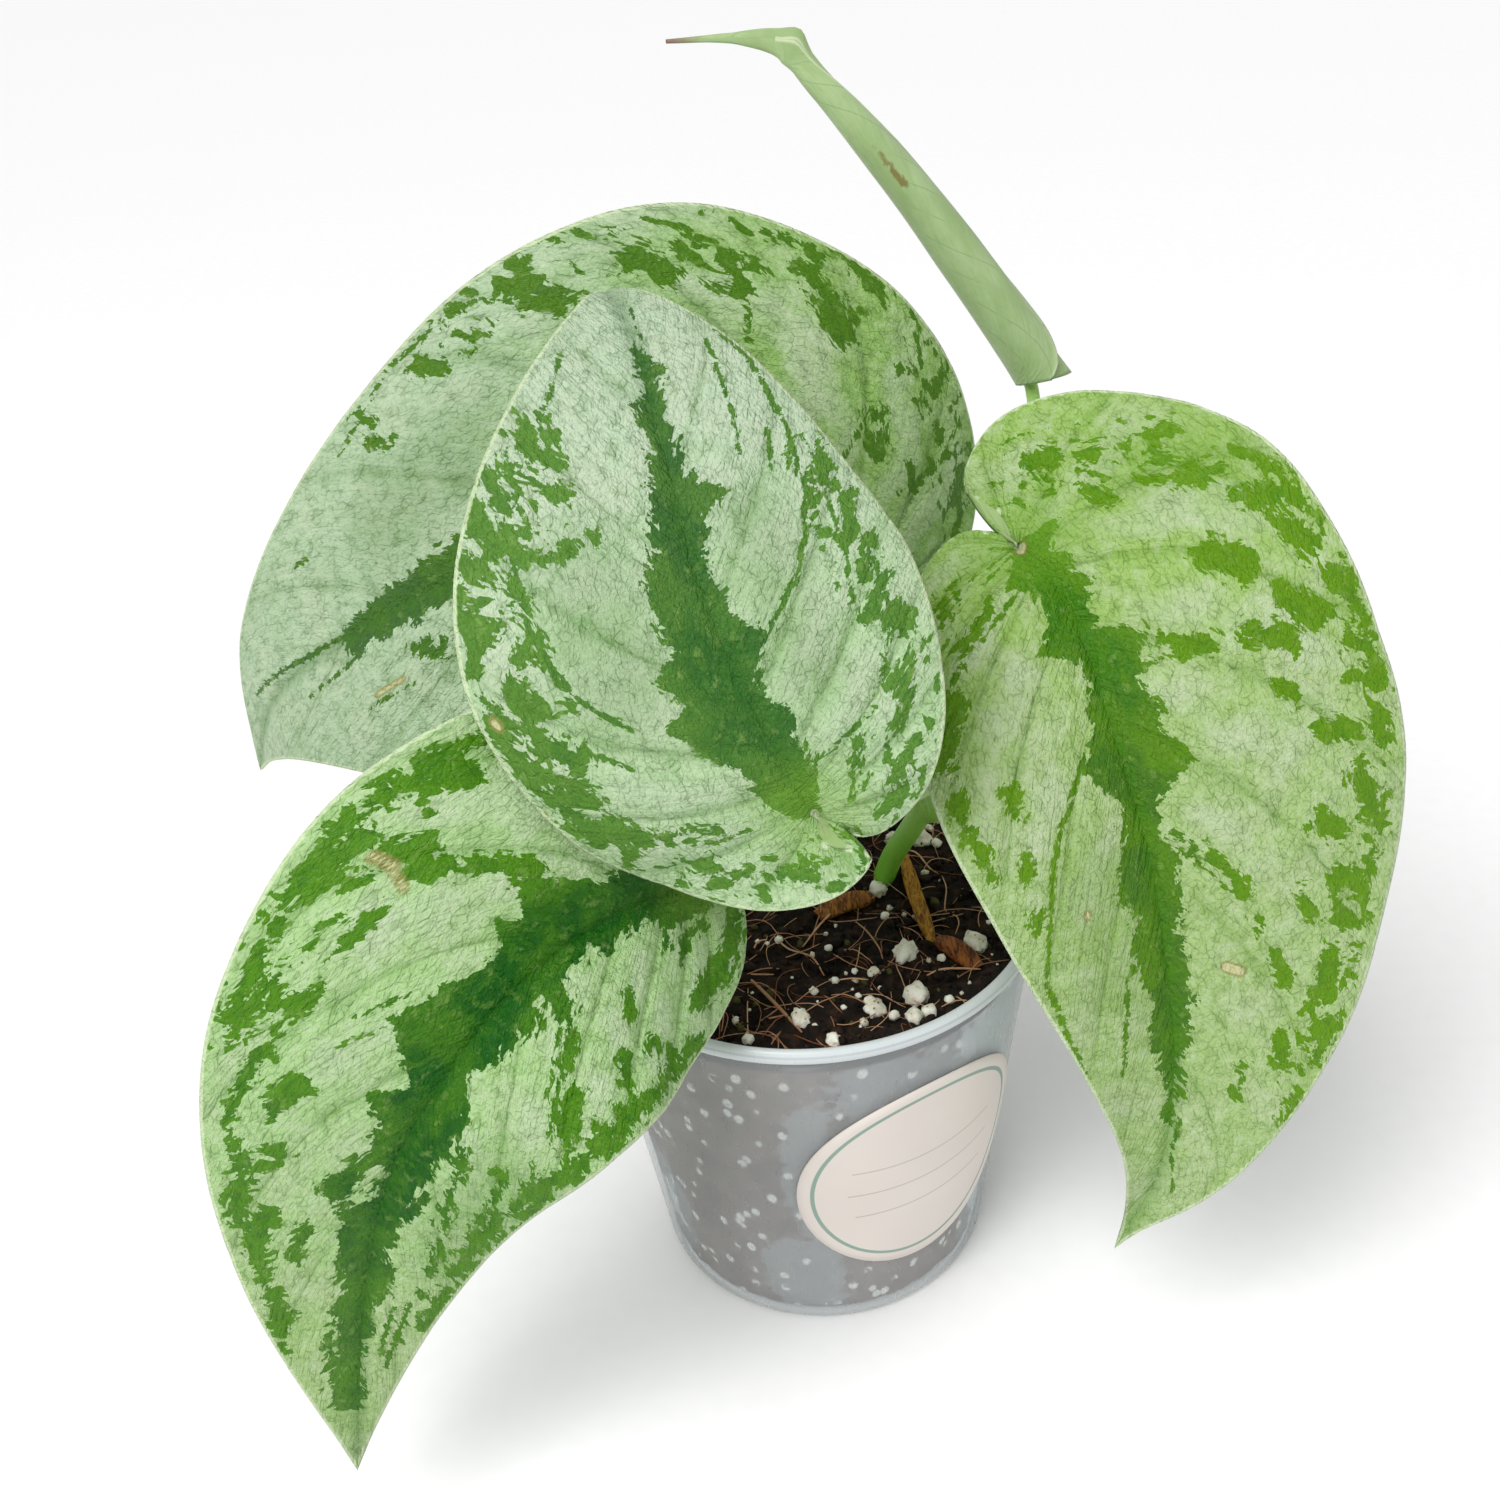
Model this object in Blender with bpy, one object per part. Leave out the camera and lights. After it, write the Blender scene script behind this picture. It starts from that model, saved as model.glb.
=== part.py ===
"""A young satin pothos in an 80 mm translucent nursery cup.

Run it with blender --background --python part.py, or from Blender's text editor.
The origin is the middle of the cup's flat base, +Z is up and -Y is the front.
Lengths below are millimetres and angles are degrees; MM turns them into metres.
"""

import math

import bmesh
import bpy
import numpy as np
from mathutils import Matrix, Vector

MM = 0.001
CLEARANCE = 0.3

# The cup: a thin tapered wall with a rolled rim and drain holes round a solid middle.
CUP_HEIGHT = 74.0
CUP_BASE_RADIUS = 30.5
CUP_SHOULDER_RADIUS = 39.2
CUP_RIM_RADIUS = 40.0
CUP_RIM_HEIGHT = 2.4
CUP_WALL = 0.9
CUP_SEGMENTS = 56
DRAIN_HOLES = 6
DRAIN_RING = 18.0
DRAIN_RADIUS = 2.5

# The round paper label on the front right of the wall.
LABEL_RADIUS = 23.0
LABEL_THICKNESS = 0.5
LABEL_TURN = 30.0
LABEL_HEIGHT = 37.5

# The potting mix, with perlite grains and bark chips standing out of its top.
SOIL_TOP = 68.6
SOIL_BUMP = 1.1
SOIL_RINGS = 7
SOIL_SEGMENTS = 40
SEEN_PERLITE = [(13, 6, 2.1), (16, -13, 2.6), (28, -10, 2.4), (17, -21, 2.8), (10, -23, 1.9),
                (-2, -26, 2.3), (3, -31, 1.8), (22, 19, 2.3)]
MORE_PERLITE = 16
BARK_CHIPS = [(20, 4, 9.0, 3.4, 75), (8, -3, 7.0, 4.0, 20), (-14, 6, 8.0, 3.6, 120), (-5, 22, 7.5, 3.2, 40),
              (27, -19, 6.5, 3.0, 150)]

# The stem leans out of the soil and splits behind the blades into five leaf stalks.
STEM_RADIUS = 2.0
STEM_PATH = [(13.0, 10.0, 57), (13.6, 9.4, 66), (15.8, 8.4, 74), (19.4, 6.5, 82), (22.6, 5, 90), (24.6, 4.2, 96)]
STALK_RADIUS = 1.6
STALK_TIP_RADIUS = 1.15
FORK = (25, 4, 97)
FORK_SHEATH = (22.3, 5.2, 88)
STALK_REACH = 6.0

BLADE_THICKNESS = 0.7
HEADING_REACH = 30
BLADE_ROWS = 26
BLADE_COLUMNS = 6


def lobe(back, inner, corner, widest, rise, fall):
    """How one half of a blade is cut: its lobe behind the stalk, its widest place and how it narrows to the tip."""
    return dict(back=back, inner=inner, corner=corner, widest=widest, rise=rise, fall=fall)


# Each blade: its midrib from stalk to tip, the way its face looks at base, middle and tip,
# then for its left and right half the width, the fold up from the midrib, the arch down to
# the margin, the turn of the lobe behind the stalk, the cut, and the margin's gentle waves.
BLADES = {
    "leaf_front": dict(
        midrib=[(2, -41, 119), (-3, -40, 130), (-8.5, -36, 143), (-12, -29.5, 154), (-15, -19, 165),
                (-18, -7, 173), (-22, 6, 177), (-24, 10.5, 175.5)],
        face=[(0.05, -1.0, 0.10), (0.16, -0.74, 0.65), (0.09, -0.26, 0.96)],
        width=(33.5, 28), fold=[(8, 8, 5), (8, 8, 5)], arch=[(30, 26, 30), (24, 26, 35)], turn=(45, -14),
        cut=[lobe(0.13, -0.18, 0.05, 0.35, 1.6, 1.15), lobe(0.08, 0.06, 0.20, 0.32, 1.7, 1.05)],
        wave=[(0.5, 2.6, 0.1), (0.4, 2.2, 0.5)],
        stalk=[(23, -6, 101), (16, -20, 106), (8, -32, 113)]),
    "leaf_left": dict(
        midrib=[(-16, -28, 100), (-27, -43, 105), (-39, -54, 103), (-49, -60, 94), (-59, -62, 79),
                (-68, -63, 54), (-76, -67, 17)],
        face=[(0.2, -0.85, 0.45), (0.05, -0.93, 0.3), (0.2, -0.9, 0.1)],
        width=(26.5, 35.3), fold=[(14, 14, 5), (14, 14, 5)], arch=[(22, 22, 20), (26, 24, 20)], turn=(-10, 10),
        cut=[lobe(0.06, 0.06, 0.25, 0.26, 1.5, 1.2), lobe(0.10, 0.06, 0.30, 0.26, 1.5, 1.1)],
        wave=[(0.6, 2.5, 0.3), (0.8, 3.0, 0.0)],
        stalk=[(19, 0, 98), (7, -10, 99), (-7, -19, 98)]),
    "leaf_right": dict(
        midrib=[(35, -1, 137), (39, -8, 135), (43, -16, 127), (46, -22, 117), (50, -28, 103),
                (53, -33, 86), (55, -37, 66), (54, -39, 44), (48, -38, 24)],
        face=[(-0.3, -0.55, 0.75), (0.1, -0.9, 0.4), (-0.5, -0.8, 0.2)],
        width=(41, 29), fold=[(14, 14, 5), (16, 16, 5)], arch=[(24, 24, 20), (20, 20, 20)], turn=(22, -30),
        cut=[lobe(0.135, -0.08, 0.20, 0.29, 1.9, 1.50), lobe(0.06, 0.06, 0.20, 0.29, 1.5, 1.4)],
        wave=[(0.8, 3.0, 0.2), (0.5, 2.4, 0.6)],
        stalk=[(31, 8, 106), (37, 11, 117), (39, 8, 126)]),
    "leaf_back": dict(
        midrib=[(10, 8, 123), (-4, 1, 136), (-19, -2, 143), (-35, -4, 144), (-50, -4, 139),
                (-68, 0, 129), (-84, 7, 115), (-94, 17, 95)],
        face=[(0.3, -0.8, 0.45), (-0.3, -0.75, 0.58), (-0.8, -0.6, 0.10)],
        width=(46, 51), fold=[(0, 0, 5), (10, 10, 5)], arch=[(34, 34, 25), (18, 18, 20)], turn=(-20, -10),
        cut=[lobe(0.12, 0.05, 0.30, 0.25, 1.5, 1.25), lobe(0.135, 0.05, 0.36, 0.26, 0.95, 0.9)],
        wave=[(0.8, 2.6, 0.4), (1.0, 3.2, 0.1)],
        stalk=[(24, 9, 105), (19, 15, 113), (12, 17, 119)]),
}

# The new leaf is still rolled into a spear, with its drip tip bent to the left.
SPEAR_PATH = [(45.1, 37.2, 148.9), (34.1, 40.5, 165), (24.3, 42.6, 178.6), (15.2, 43.4, 190), (10.0, 43.4, 196.8),
              (5.2, 43.2, 201.6), (0.5, 42.4, 203.3), (-6.0, 41.0, 204.0), (-12.5, 39.5, 204.2)]
SPEAR_WIDTH = [(0.0, 4.6), (0.05, 4.5), (0.30, 4.0), (0.52, 3.1), (0.66, 2.3), (0.76, 2.2), (0.84, 1.7), (0.93, 0.9),
               (1.0, 0.35)]
SPEAR_FLATNESS = [(0.0, 1.0), (0.66, 0.95), (0.78, 0.40), (0.86, 0.32), (1.0, 0.9)]
SPEAR_SEAM = 0.8
SPEAR_SIDES = 18
SPEAR_STALK = [(30, 11, 107), (37, 22, 123), (42.5, 32, 138)]
SPEAR_STALK_SIDE = Vector((-2.4, -1.2, -1.2))
SPEAR_CUT = 0.45
SPEAR_CUT_SIDE = Vector((0.75, 0.2, 0.5))
SPEAR_STALK_REACH = 3.0

LOOKS = {
    "pot": ((0.80, 0.84, 0.84), 0.35), "label": ((0.90, 0.87, 0.83), 0.6), "soil": ((0.07, 0.045, 0.03), 0.95),
    "stem_and_stalks": ((0.24, 0.36, 0.10), 0.5), "leaf_front": ((0.36, 0.52, 0.36), 0.45),
    "leaf_left": ((0.34, 0.52, 0.30), 0.45), "leaf_right": ((0.36, 0.54, 0.26), 0.45),
    "leaf_back": ((0.36, 0.52, 0.30), 0.45), "leaf_rolled": ((0.38, 0.55, 0.26), 0.5),
}


def clear_scene():
    for obj in list(bpy.data.objects):
        bpy.data.objects.remove(obj)


def material(name):
    colour, roughness = LOOKS[name]
    made = bpy.data.materials.new(name)
    made.use_nodes = True
    shader = made.node_tree.nodes["Principled BSDF"]
    shader.inputs["Base Color"].default_value = (*colour, 1)
    shader.inputs["Roughness"].default_value = roughness
    shader.inputs["Metallic"].default_value = 0
    return made


def mesh_object(name, points, faces, smooth=True):
    """An object from points in millimetres, with its faces turned outwards."""
    mesh = bpy.data.meshes.new(name)
    mesh.from_pydata([tuple(float(c) * MM for c in p) for p in points], [], faces)
    shell = bmesh.new()
    shell.from_mesh(mesh)
    bmesh.ops.recalc_face_normals(shell, faces=shell.faces)
    shell.to_mesh(mesh)
    shell.free()
    if smooth:
        mesh.shade_smooth()
        mesh.set_sharp_from_angle(angle=math.radians(35))
    obj = bpy.data.objects.new(name, mesh)
    bpy.context.scene.collection.objects.link(obj)
    return obj


def as_cutter(obj):
    """A helper that only cuts: it is left out of renders and shown as wires."""
    obj.hide_render = True
    obj.display_type = "WIRE"
    return obj


def finish(obj, name):
    obj.name = name
    obj.data.materials.clear()
    obj.data.materials.append(material(name))


def unite(base, extras, name):
    """One Boolean union of a body with a collection of others, applied, and the others removed."""
    group = bpy.data.collections.new(name + "_extras")
    bpy.context.scene.collection.children.link(group)
    for extra in extras:
        for holder in list(extra.users_collection):
            holder.objects.unlink(extra)
        group.objects.link(extra)
    union = base.modifiers.new("union", "BOOLEAN")
    union.operation, union.operand_type, union.collection = "UNION", "COLLECTION", group
    bpy.context.view_layer.update()
    graph = bpy.context.evaluated_depsgraph_get()
    joined = bpy.data.meshes.new_from_object(base.evaluated_get(graph))
    base.modifiers.clear()
    base.data = joined
    for extra in extras:
        bpy.data.objects.remove(extra)
    bpy.data.collections.remove(group)
    return base


def mix(low, high, start, end, t):
    """The point at t on the straight run from low at start to high at end."""
    return ((end - t) * low + (t - start) * high) / (end - start)


def smooth_path(points, shares):
    """Points at the given shares of the length of a centripetal Catmull-Rom curve through the points."""
    p = np.asarray(points, float)
    p = np.vstack([2 * p[0] - p[1], p, 2 * p[-1] - p[-2]])
    runs = []
    for i in range(len(p) - 3):
        four = p[i:i + 4]
        knots = np.r_[0, np.cumsum(np.sqrt(np.linalg.norm(np.diff(four, axis=0), axis=1)))]
        t = np.linspace(knots[1], knots[2], 40)[:, None]
        line = [mix(four[j], four[j + 1], knots[j], knots[j + 1], t) for j in range(3)]
        bow = [mix(line[j], line[j + 1], knots[j], knots[j + 2], t) for j in range(2)]
        runs.append(mix(bow[0], bow[1], knots[1], knots[2], t))
    curve = np.concatenate(runs)
    along = np.r_[0, np.cumsum(np.linalg.norm(np.diff(curve, axis=0), axis=1))]
    wanted = np.asarray(shares) * along[-1]
    return np.stack([np.interp(wanted, along, curve[:, k]) for k in range(p.shape[1])], 1), along[-1]


def through(values, share):
    """A parabola through values at the base, the middle and the tip."""
    return (values[0] * (1 - share) * (1 - 2 * share) + 4 * values[1] * share * (1 - share)
            + values[2] * share * (2 * share - 1))


def turned(name, profile, segments):
    """A body of revolution. The profile is (radius, height) from the axis round and back to it."""
    points, faces, loops = [], [], []
    for radius, height in profile:
        if radius == 0:
            loops.append([len(points)])
            points.append((0, 0, height))
        else:
            loops.append(list(range(len(points), len(points) + segments)))
            points += [(radius * math.cos(a), radius * math.sin(a), height)
                       for a in (2 * math.pi * k / segments for k in range(segments))]
    for low, high in zip(loops, loops[1:]):
        for k in range(segments):
            corners = [low[k % len(low)], low[(k + 1) % len(low)], high[(k + 1) % len(high)], high[k % len(high)]]
            faces.append(tuple(dict.fromkeys(corners)))
    return mesh_object(name, points, faces)


def tube(name, points, radii, sides=12):
    """A round stalk along a path, with a radius for each point and flat ends."""
    points = [Vector(p) for p in points]
    rings, faces, side = [], [], Vector((0, 1, 0))
    for i, here in enumerate(points):
        ahead = (points[min(i + 1, len(points) - 1)] - points[max(i - 1, 0)]).normalized()
        side = (side - side.dot(ahead) * ahead).normalized()
        other = ahead.cross(side)
        rings.append([here + radii[i] * (math.cos(a) * side + math.sin(a) * other)
                      for a in (2 * math.pi * k / sides for k in range(sides))])
    for i in range(len(rings) - 1):
        for k in range(sides):
            n = (k + 1) % sides
            faces.append((i * sides + k, i * sides + n, (i + 1) * sides + n, (i + 1) * sides + k))
    faces.append(tuple(range(sides)))
    faces.append(tuple((len(rings) - 1) * sides + k for k in range(sides)))
    return mesh_object(name, [p for ring in rings for p in ring], faces)


def cup_wall_radius(height):
    """The outer radius of the wall at a height above its base."""
    foot, shoulder = 1.4, CUP_HEIGHT - CUP_RIM_HEIGHT
    share = (height - foot) / (shoulder - foot)
    return CUP_BASE_RADIUS + 0.2 + share * (CUP_SHOULDER_RADIUS - CUP_BASE_RADIUS - 0.2)


def make_pot():
    shoulder = CUP_HEIGHT - CUP_RIM_HEIGHT
    inner_top = CUP_RIM_RADIUS - 1.7
    profile = [
        (0, 0), (CUP_BASE_RADIUS - 1.2, 0), (CUP_BASE_RADIUS - 0.3, 0.45), (cup_wall_radius(1.4), 1.4),
        (cup_wall_radius(36), 36), (CUP_SHOULDER_RADIUS, shoulder), (CUP_RIM_RADIUS - 0.1, shoulder + 0.3),
        (CUP_RIM_RADIUS, shoulder + 1.2), (CUP_RIM_RADIUS - 0.4, CUP_HEIGHT - 0.3), (CUP_RIM_RADIUS - 1.0, CUP_HEIGHT),
        (inner_top + 0.15, CUP_HEIGHT - 0.4), (inner_top, shoulder + 0.9), (cup_wall_radius(36) - CUP_WALL, 36),
        (cup_wall_radius(2.2) - CUP_WALL, 2.2), (CUP_BASE_RADIUS - 1.5, 1.0), (0, 1.0)]
    pot = turned("pot", profile, CUP_SEGMENTS)
    for k in range(DRAIN_HOLES):
        a = 2 * math.pi * (k + 0.31) / DRAIN_HOLES
        bpy.ops.mesh.primitive_cylinder_add(
            vertices=16, radius=DRAIN_RADIUS * MM, depth=4 * MM,
            location=(DRAIN_RING * math.cos(a) * MM, DRAIN_RING * math.sin(a) * MM, 0.5 * MM))
        drain = as_cutter(bpy.context.object)
        drain.name = "drain_cutter_%d" % k
        cut = pot.modifiers.new(drain.name, "BOOLEAN")
        cut.operation, cut.object = "DIFFERENCE", drain
    finish(pot, "pot")


def on_wall(across, up, lift):
    """A point of the label's flat plan, wrapped on the cup's cone and lifted off it."""
    slope = math.atan2(CUP_SHOULDER_RADIUS - CUP_BASE_RADIUS, CUP_HEIGHT - CUP_RIM_HEIGHT)
    middle = cup_wall_radius(LABEL_HEIGHT) / math.sin(slope)
    reach = math.hypot(middle + up, across)
    turn = math.atan2(across, middle + up) / math.sin(slope)
    radius = reach * math.sin(slope) + lift * math.cos(slope)
    height = LABEL_HEIGHT + (reach - middle) * math.cos(slope) - lift * math.sin(slope)
    bearing = math.radians(LABEL_TURN) + turn
    return (radius * math.sin(bearing), -radius * math.cos(bearing), height)


def make_label():
    rings, sides = 3, 36
    points, faces = [], []
    for lift in (CLEARANCE, CLEARANCE + LABEL_THICKNESS):
        points.append(on_wall(0, 0, lift))
        for ring in range(1, rings + 1):
            reach = LABEL_RADIUS * ring / rings
            points += [on_wall(reach * math.cos(a), reach * math.sin(a), lift)
                       for a in (2 * math.pi * k / sides for k in range(sides))]
    layer = 1 + rings * sides
    for base in (0, layer):
        for k in range(sides):
            n = (k + 1) % sides
            faces.append((base, base + 1 + k, base + 1 + n))
            for ring in range(rings - 1):
                a, b = base + 1 + ring * sides, base + 1 + (ring + 1) * sides
                faces.append((a + k, b + k, b + n, a + n))
    edge = 1 + (rings - 1) * sides
    for k in range(sides):
        n = (k + 1) % sides
        faces.append((edge + k, edge + n, layer + edge + n, layer + edge + k))
    finish(mesh_object("label", points, faces), "label")


def soil_height(x, y):
    """The top of the mix: low mounds and hollows that die away at the wall."""
    bumps = math.sin(0.21 * x + 1.3) * math.cos(0.27 * y) + 0.6 * math.sin(0.43 * y - 0.31 * x + 0.7)
    return SOIL_TOP + SOIL_BUMP * 0.7 * bumps


def grain(name, place, size, squash, turn, faces=1):
    bpy.ops.mesh.primitive_ico_sphere_add(subdivisions=faces, radius=MM)
    made = bpy.context.object
    made.name = name
    made.data.transform(Matrix.Translation([c * MM for c in place]) @ Matrix.Rotation(turn, 4, (0.3, 0.5, 0.8))
                        @ Matrix.Diagonal((size[0], size[1], size[2] * squash, 1)))
    return made


def perlite(draw):
    """White grains where the front shows them, and more drawn at random over the rest of the top."""
    places = [(x, y, r) for x, y, r in SEEN_PERLITE]
    while len(places) < len(SEEN_PERLITE) + MORE_PERLITE:
        reach, a, r = 33 * math.sqrt(draw.random()), 2 * math.pi * draw.random(), draw.uniform(1.0, 2.2)
        x, y = reach * math.cos(a), reach * math.sin(a)
        near_stem = math.hypot(x - STEM_PATH[1][0], y - STEM_PATH[1][1]) < r + STEM_RADIUS + 1.6
        if not near_stem and all(math.hypot(x - u, y - v) > r + s + 0.6 for u, v, s in places):
            places.append((x, y, r))
    made = []
    for k, (x, y, r) in enumerate(places):
        sizes = [r * draw.uniform(0.85, 1.15) for _ in range(3)]
        made.append(grain("perlite_%d" % k, (x, y, soil_height(x, y) + 0.1 * r), sizes, 0.9, draw.uniform(0, 3)))
    return made


def bark_chip(name, x, y, length, width, turn):
    bpy.ops.mesh.primitive_cube_add(size=MM)
    chip = bpy.context.object
    chip.name = name
    for vertex in chip.data.vertices:
        if vertex.co.x > 0:
            vertex.co.y *= 0.55
    chip.data.transform(Matrix.Translation((x * MM, y * MM, (soil_height(x, y) + 0.1) * MM))
                        @ Matrix.Rotation(math.radians(turn), 4, "Z") @ Matrix.Rotation(math.radians(9), 4, "Y")
                        @ Matrix.Rotation(math.radians(12), 4, "X") @ Matrix.Diagonal((length, width, 2.6, 1)))
    return chip


def make_soil():
    draw = np.random.default_rng(4)
    bottom, inner = 1.0 + CLEARANCE, CUP_WALL + CLEARANCE
    points, faces = [(0, 0, bottom)], []
    ring_sizes = [(cup_wall_radius(2.2) - inner - 1.0, bottom), (cup_wall_radius(2.6) - inner, 2.6)]
    for radius, height in ring_sizes:
        points += [(radius * math.cos(a), radius * math.sin(a), height)
                   for a in (2 * math.pi * k / SOIL_SEGMENTS for k in range(SOIL_SEGMENTS))]
    edge = cup_wall_radius(SOIL_TOP) - inner - 0.05
    for ring in range(SOIL_RINGS):
        radius = edge * (1 - ring / SOIL_RINGS) ** 0.9
        for k in range(SOIL_SEGMENTS):
            a = 2 * math.pi * k / SOIL_SEGMENTS
            x, y = radius * math.cos(a), radius * math.sin(a)
            level = soil_height(x, y) + (0.35 * draw.uniform(-1, 1) if 0 < ring < SOIL_RINGS - 1 else 0)
            points.append((x, y, level if ring else min(level, SOIL_TOP + 0.4)))
    points.append((0, 0, soil_height(0, 0)))
    rings = 2 + SOIL_RINGS
    for k in range(SOIL_SEGMENTS):
        n = (k + 1) % SOIL_SEGMENTS
        faces.append((0, 1 + n, 1 + k))
        for ring in range(rings - 1):
            a, b = 1 + ring * SOIL_SEGMENTS, 1 + (ring + 1) * SOIL_SEGMENTS
            faces.append((a + k, a + n, b + n))
            faces.append((a + k, b + n, b + k))
        faces.append((1 + (rings - 1) * SOIL_SEGMENTS + k, 1 + (rings - 1) * SOIL_SEGMENTS + n, len(points) - 1))
    soil = mesh_object("soil", points, faces, smooth=False)
    chips = [bark_chip("bark_%d" % k, *chip) for k, chip in enumerate(BARK_CHIPS)]
    unite(soil, perlite(draw) + chips, "soil")
    hole = tube("soil_hole", *stem_line(CLEARANCE, top=0.75, below=0.6), sides=14)
    cut = soil.modifiers.new("stem_hole", "BOOLEAN")
    cut.operation, cut.object = "DIFFERENCE", as_cutter(hole)
    finish(soil, "soil")


def stem_line(extra, top=1.0, below=0.0):
    """The stem's points and radii. The hole in the soil is the same line, a little wider and deeper."""
    points, _ = smooth_path(STEM_PATH, np.linspace(0, top, 12))
    start = points[0] - below * (points[1] - points[0]) / np.linalg.norm(points[1] - points[0])
    return np.vstack([start, points[1:]]), [STEM_RADIUS + extra] * 12


def stalk(name, route, end, radius):
    points, _ = smooth_path([FORK, *route, end], np.linspace(0, 1, 16))
    sheath = [radius + 0.55 * max(0, 1 - 2.2 * k / 15) for k in range(16)]
    radii = [r + (STALK_TIP_RADIUS - radius) * k / 15 for k, r in enumerate(sheath)]
    return tube(name, points, radii, sides=10)


def make_stem():
    """The stem and the five leaf stalks, which grew as one piece."""
    stem = tube("stem", *stem_line(0))
    parts = [grain("fork", FORK, (3.1, 3.0, 3.6), 1, 0.2, faces=2),
             grain("fork_sheath", FORK_SHEATH, (3.0, 2.7, 4.8), 1, 0.5, faces=2)]
    for name, blade in BLADES.items():
        base, face = np.array(blade["midrib"][0], float), blade_frames(blade)[3][0]
        end = base - (BLADE_THICKNESS / 2 + CLEARANCE + 0.05) * face
        route = [*blade["stalk"], tuple(base - STALK_REACH * face)]
        parts.append(stalk("stalk_" + name, route, tuple(end), STALK_RADIUS))
    base, (ahead, slant) = Vector(SPEAR_PATH[0]), spear_base()
    normal = (ahead + SPEAR_CUT * slant).normalized()
    end = base + SPEAR_STALK_SIDE - SPEAR_STALK_SIDE.dot(normal) * normal - (CLEARANCE + 0.1) * normal
    parts.append(stalk("stalk_rolled", [*SPEAR_STALK, end - SPEAR_STALK_REACH * normal], end, STALK_RADIUS))
    finish(unite(stem, parts, "stem"), "stem_and_stalks")


def half_margin(length, width, cut):
    """One half's margin laid flat, from the notch at the stalk round the lobe to the tip."""
    back, corner, widest = cut["back"], cut["corner"], cut["widest"]
    line = [(0, 0), (-0.36 * back, 0.03), (-0.76 * back, cut["inner"] + 0.25 * (corner - cut["inner"]))]
    for a in np.radians([0, 22.5, 45, 67.5]):
        line.append((widest - (widest + back) * math.cos(a), corner + (1 - corner) * math.sin(a)))
    for share in (0, 0.2, 0.4, 0.57, 0.72, 0.84, 0.92):
        line.append((widest + (1 - widest) * share, (1 - share ** cut["rise"]) ** cut["fall"]))
    return np.array([*line, (1, 0)]) * [length, width]


def blade_frames(blade):
    """Length, stations, points, face directions and headings along the midrib."""
    points, length = smooth_path(blade["midrib"], np.linspace(0, 1, 300))
    along = np.linspace(0, length, 300)
    station = np.arange(300)
    heading = points[np.minimum(station + HEADING_REACH, 299)] - points[np.maximum(station - HEADING_REACH, 0)]
    heading /= np.linalg.norm(heading, axis=1)[:, None]
    wanted = np.array(blade["face"], float)
    face = through(wanted[:, None, :], (along / length)[:, None])
    face -= (face * heading).sum(1)[:, None] * heading
    face /= np.linalg.norm(face, axis=1)[:, None]
    return length, along, points, face, heading


def bend(blade, frames, x, y, half):
    """Takes flat points, x along the midrib and y out from it, to their place in the air."""
    length, along, points, face, heading = frames
    at = np.clip(x, 0, length)
    origin, up, ahead = (np.stack([np.interp(at, along, row[:, k]) for k in range(3)], -1)
                         for row in (points, face, heading))
    side = np.cross(ahead, up)
    share, width, reach = np.clip(x / length, 0, 1), blade["width"][half], np.abs(y)
    fold = np.radians(through(blade["fold"][half], share))
    arch = np.radians(through(blade["arch"][half], share))
    angles = fold[..., None] - arch[..., None] * (reach[..., None] * (np.arange(16) + 0.5) / 16 / width)
    across, rise = np.cos(angles).mean(-1) * y, np.sin(angles).mean(-1) * reach
    behind = -np.minimum(x, 0)
    turn = np.radians(blade["turn"][half]) * behind / (0.15 * length) + 1e-9
    back, lift = np.sin(turn) / turn * behind, (1 - np.cos(turn)) / turn * behind
    size, waves, start = blade["wave"][half]
    lift = lift + rise + size * np.sin(2 * np.pi * (waves * x / length + start)) * np.clip(reach / width, 0, 1.2) ** 2
    return (origin - ahead * back[..., None] + up * lift[..., None]
            + side * ((1 if half else -1) * across)[..., None])


def half_grid(blade, frames, half, rows, columns, start=1.35, sweep=0.13):
    """A half as rows that follow the side veins from the midrib to the margin."""
    length = frames[0]
    shares = np.linspace(0, 1, rows)
    margin, _ = smooth_path(half_margin(length, blade["width"][half], blade["cut"][half]), shares)
    root = np.stack([length * shares ** start, 0 * shares], 1)
    chord = margin - root
    knee = (margin + root) / 2 + sweep * np.stack([-chord[:, 1], chord[:, 0]], 1)
    t = np.linspace(0, 1, columns)[None, :, None]
    flat = (1 - t) ** 2 * root[:, None] + 2 * t * (1 - t) * knee[:, None] + t ** 2 * margin[:, None]
    return bend(blade, frames, flat[..., 0], flat[..., 1], half)


def blade_sheet(blade, rows, columns):
    """The middle surface of a whole blade: points and triangles, with the halves sharing the midrib."""
    frames = blade_frames(blade)
    halves = [half_grid(blade, frames, half, rows, columns) for half in (0, 1)]
    points, index = [], {}

    def number(half, row, column):
        row_end = row in (0, rows - 1)
        key = (row, 0) if row_end or column == 0 else (half, row, column)
        if key not in index:
            index[key] = len(points)
            points.append(halves[half][row, 0 if row_end else column])
        return index[key]

    faces = []
    for half in (0, 1):
        for row in range(rows - 1):
            for column in range(columns - 1):
                a, b = number(half, row, column), number(half, row, column + 1)
                c, d = number(half, row + 1, column + 1), number(half, row + 1, column)
                for corners in ((a, b, c), (a, c, d)):
                    if len(set(corners)) == 3:
                        faces.append(corners if half else corners[::-1])
    return np.array(points), faces


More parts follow.
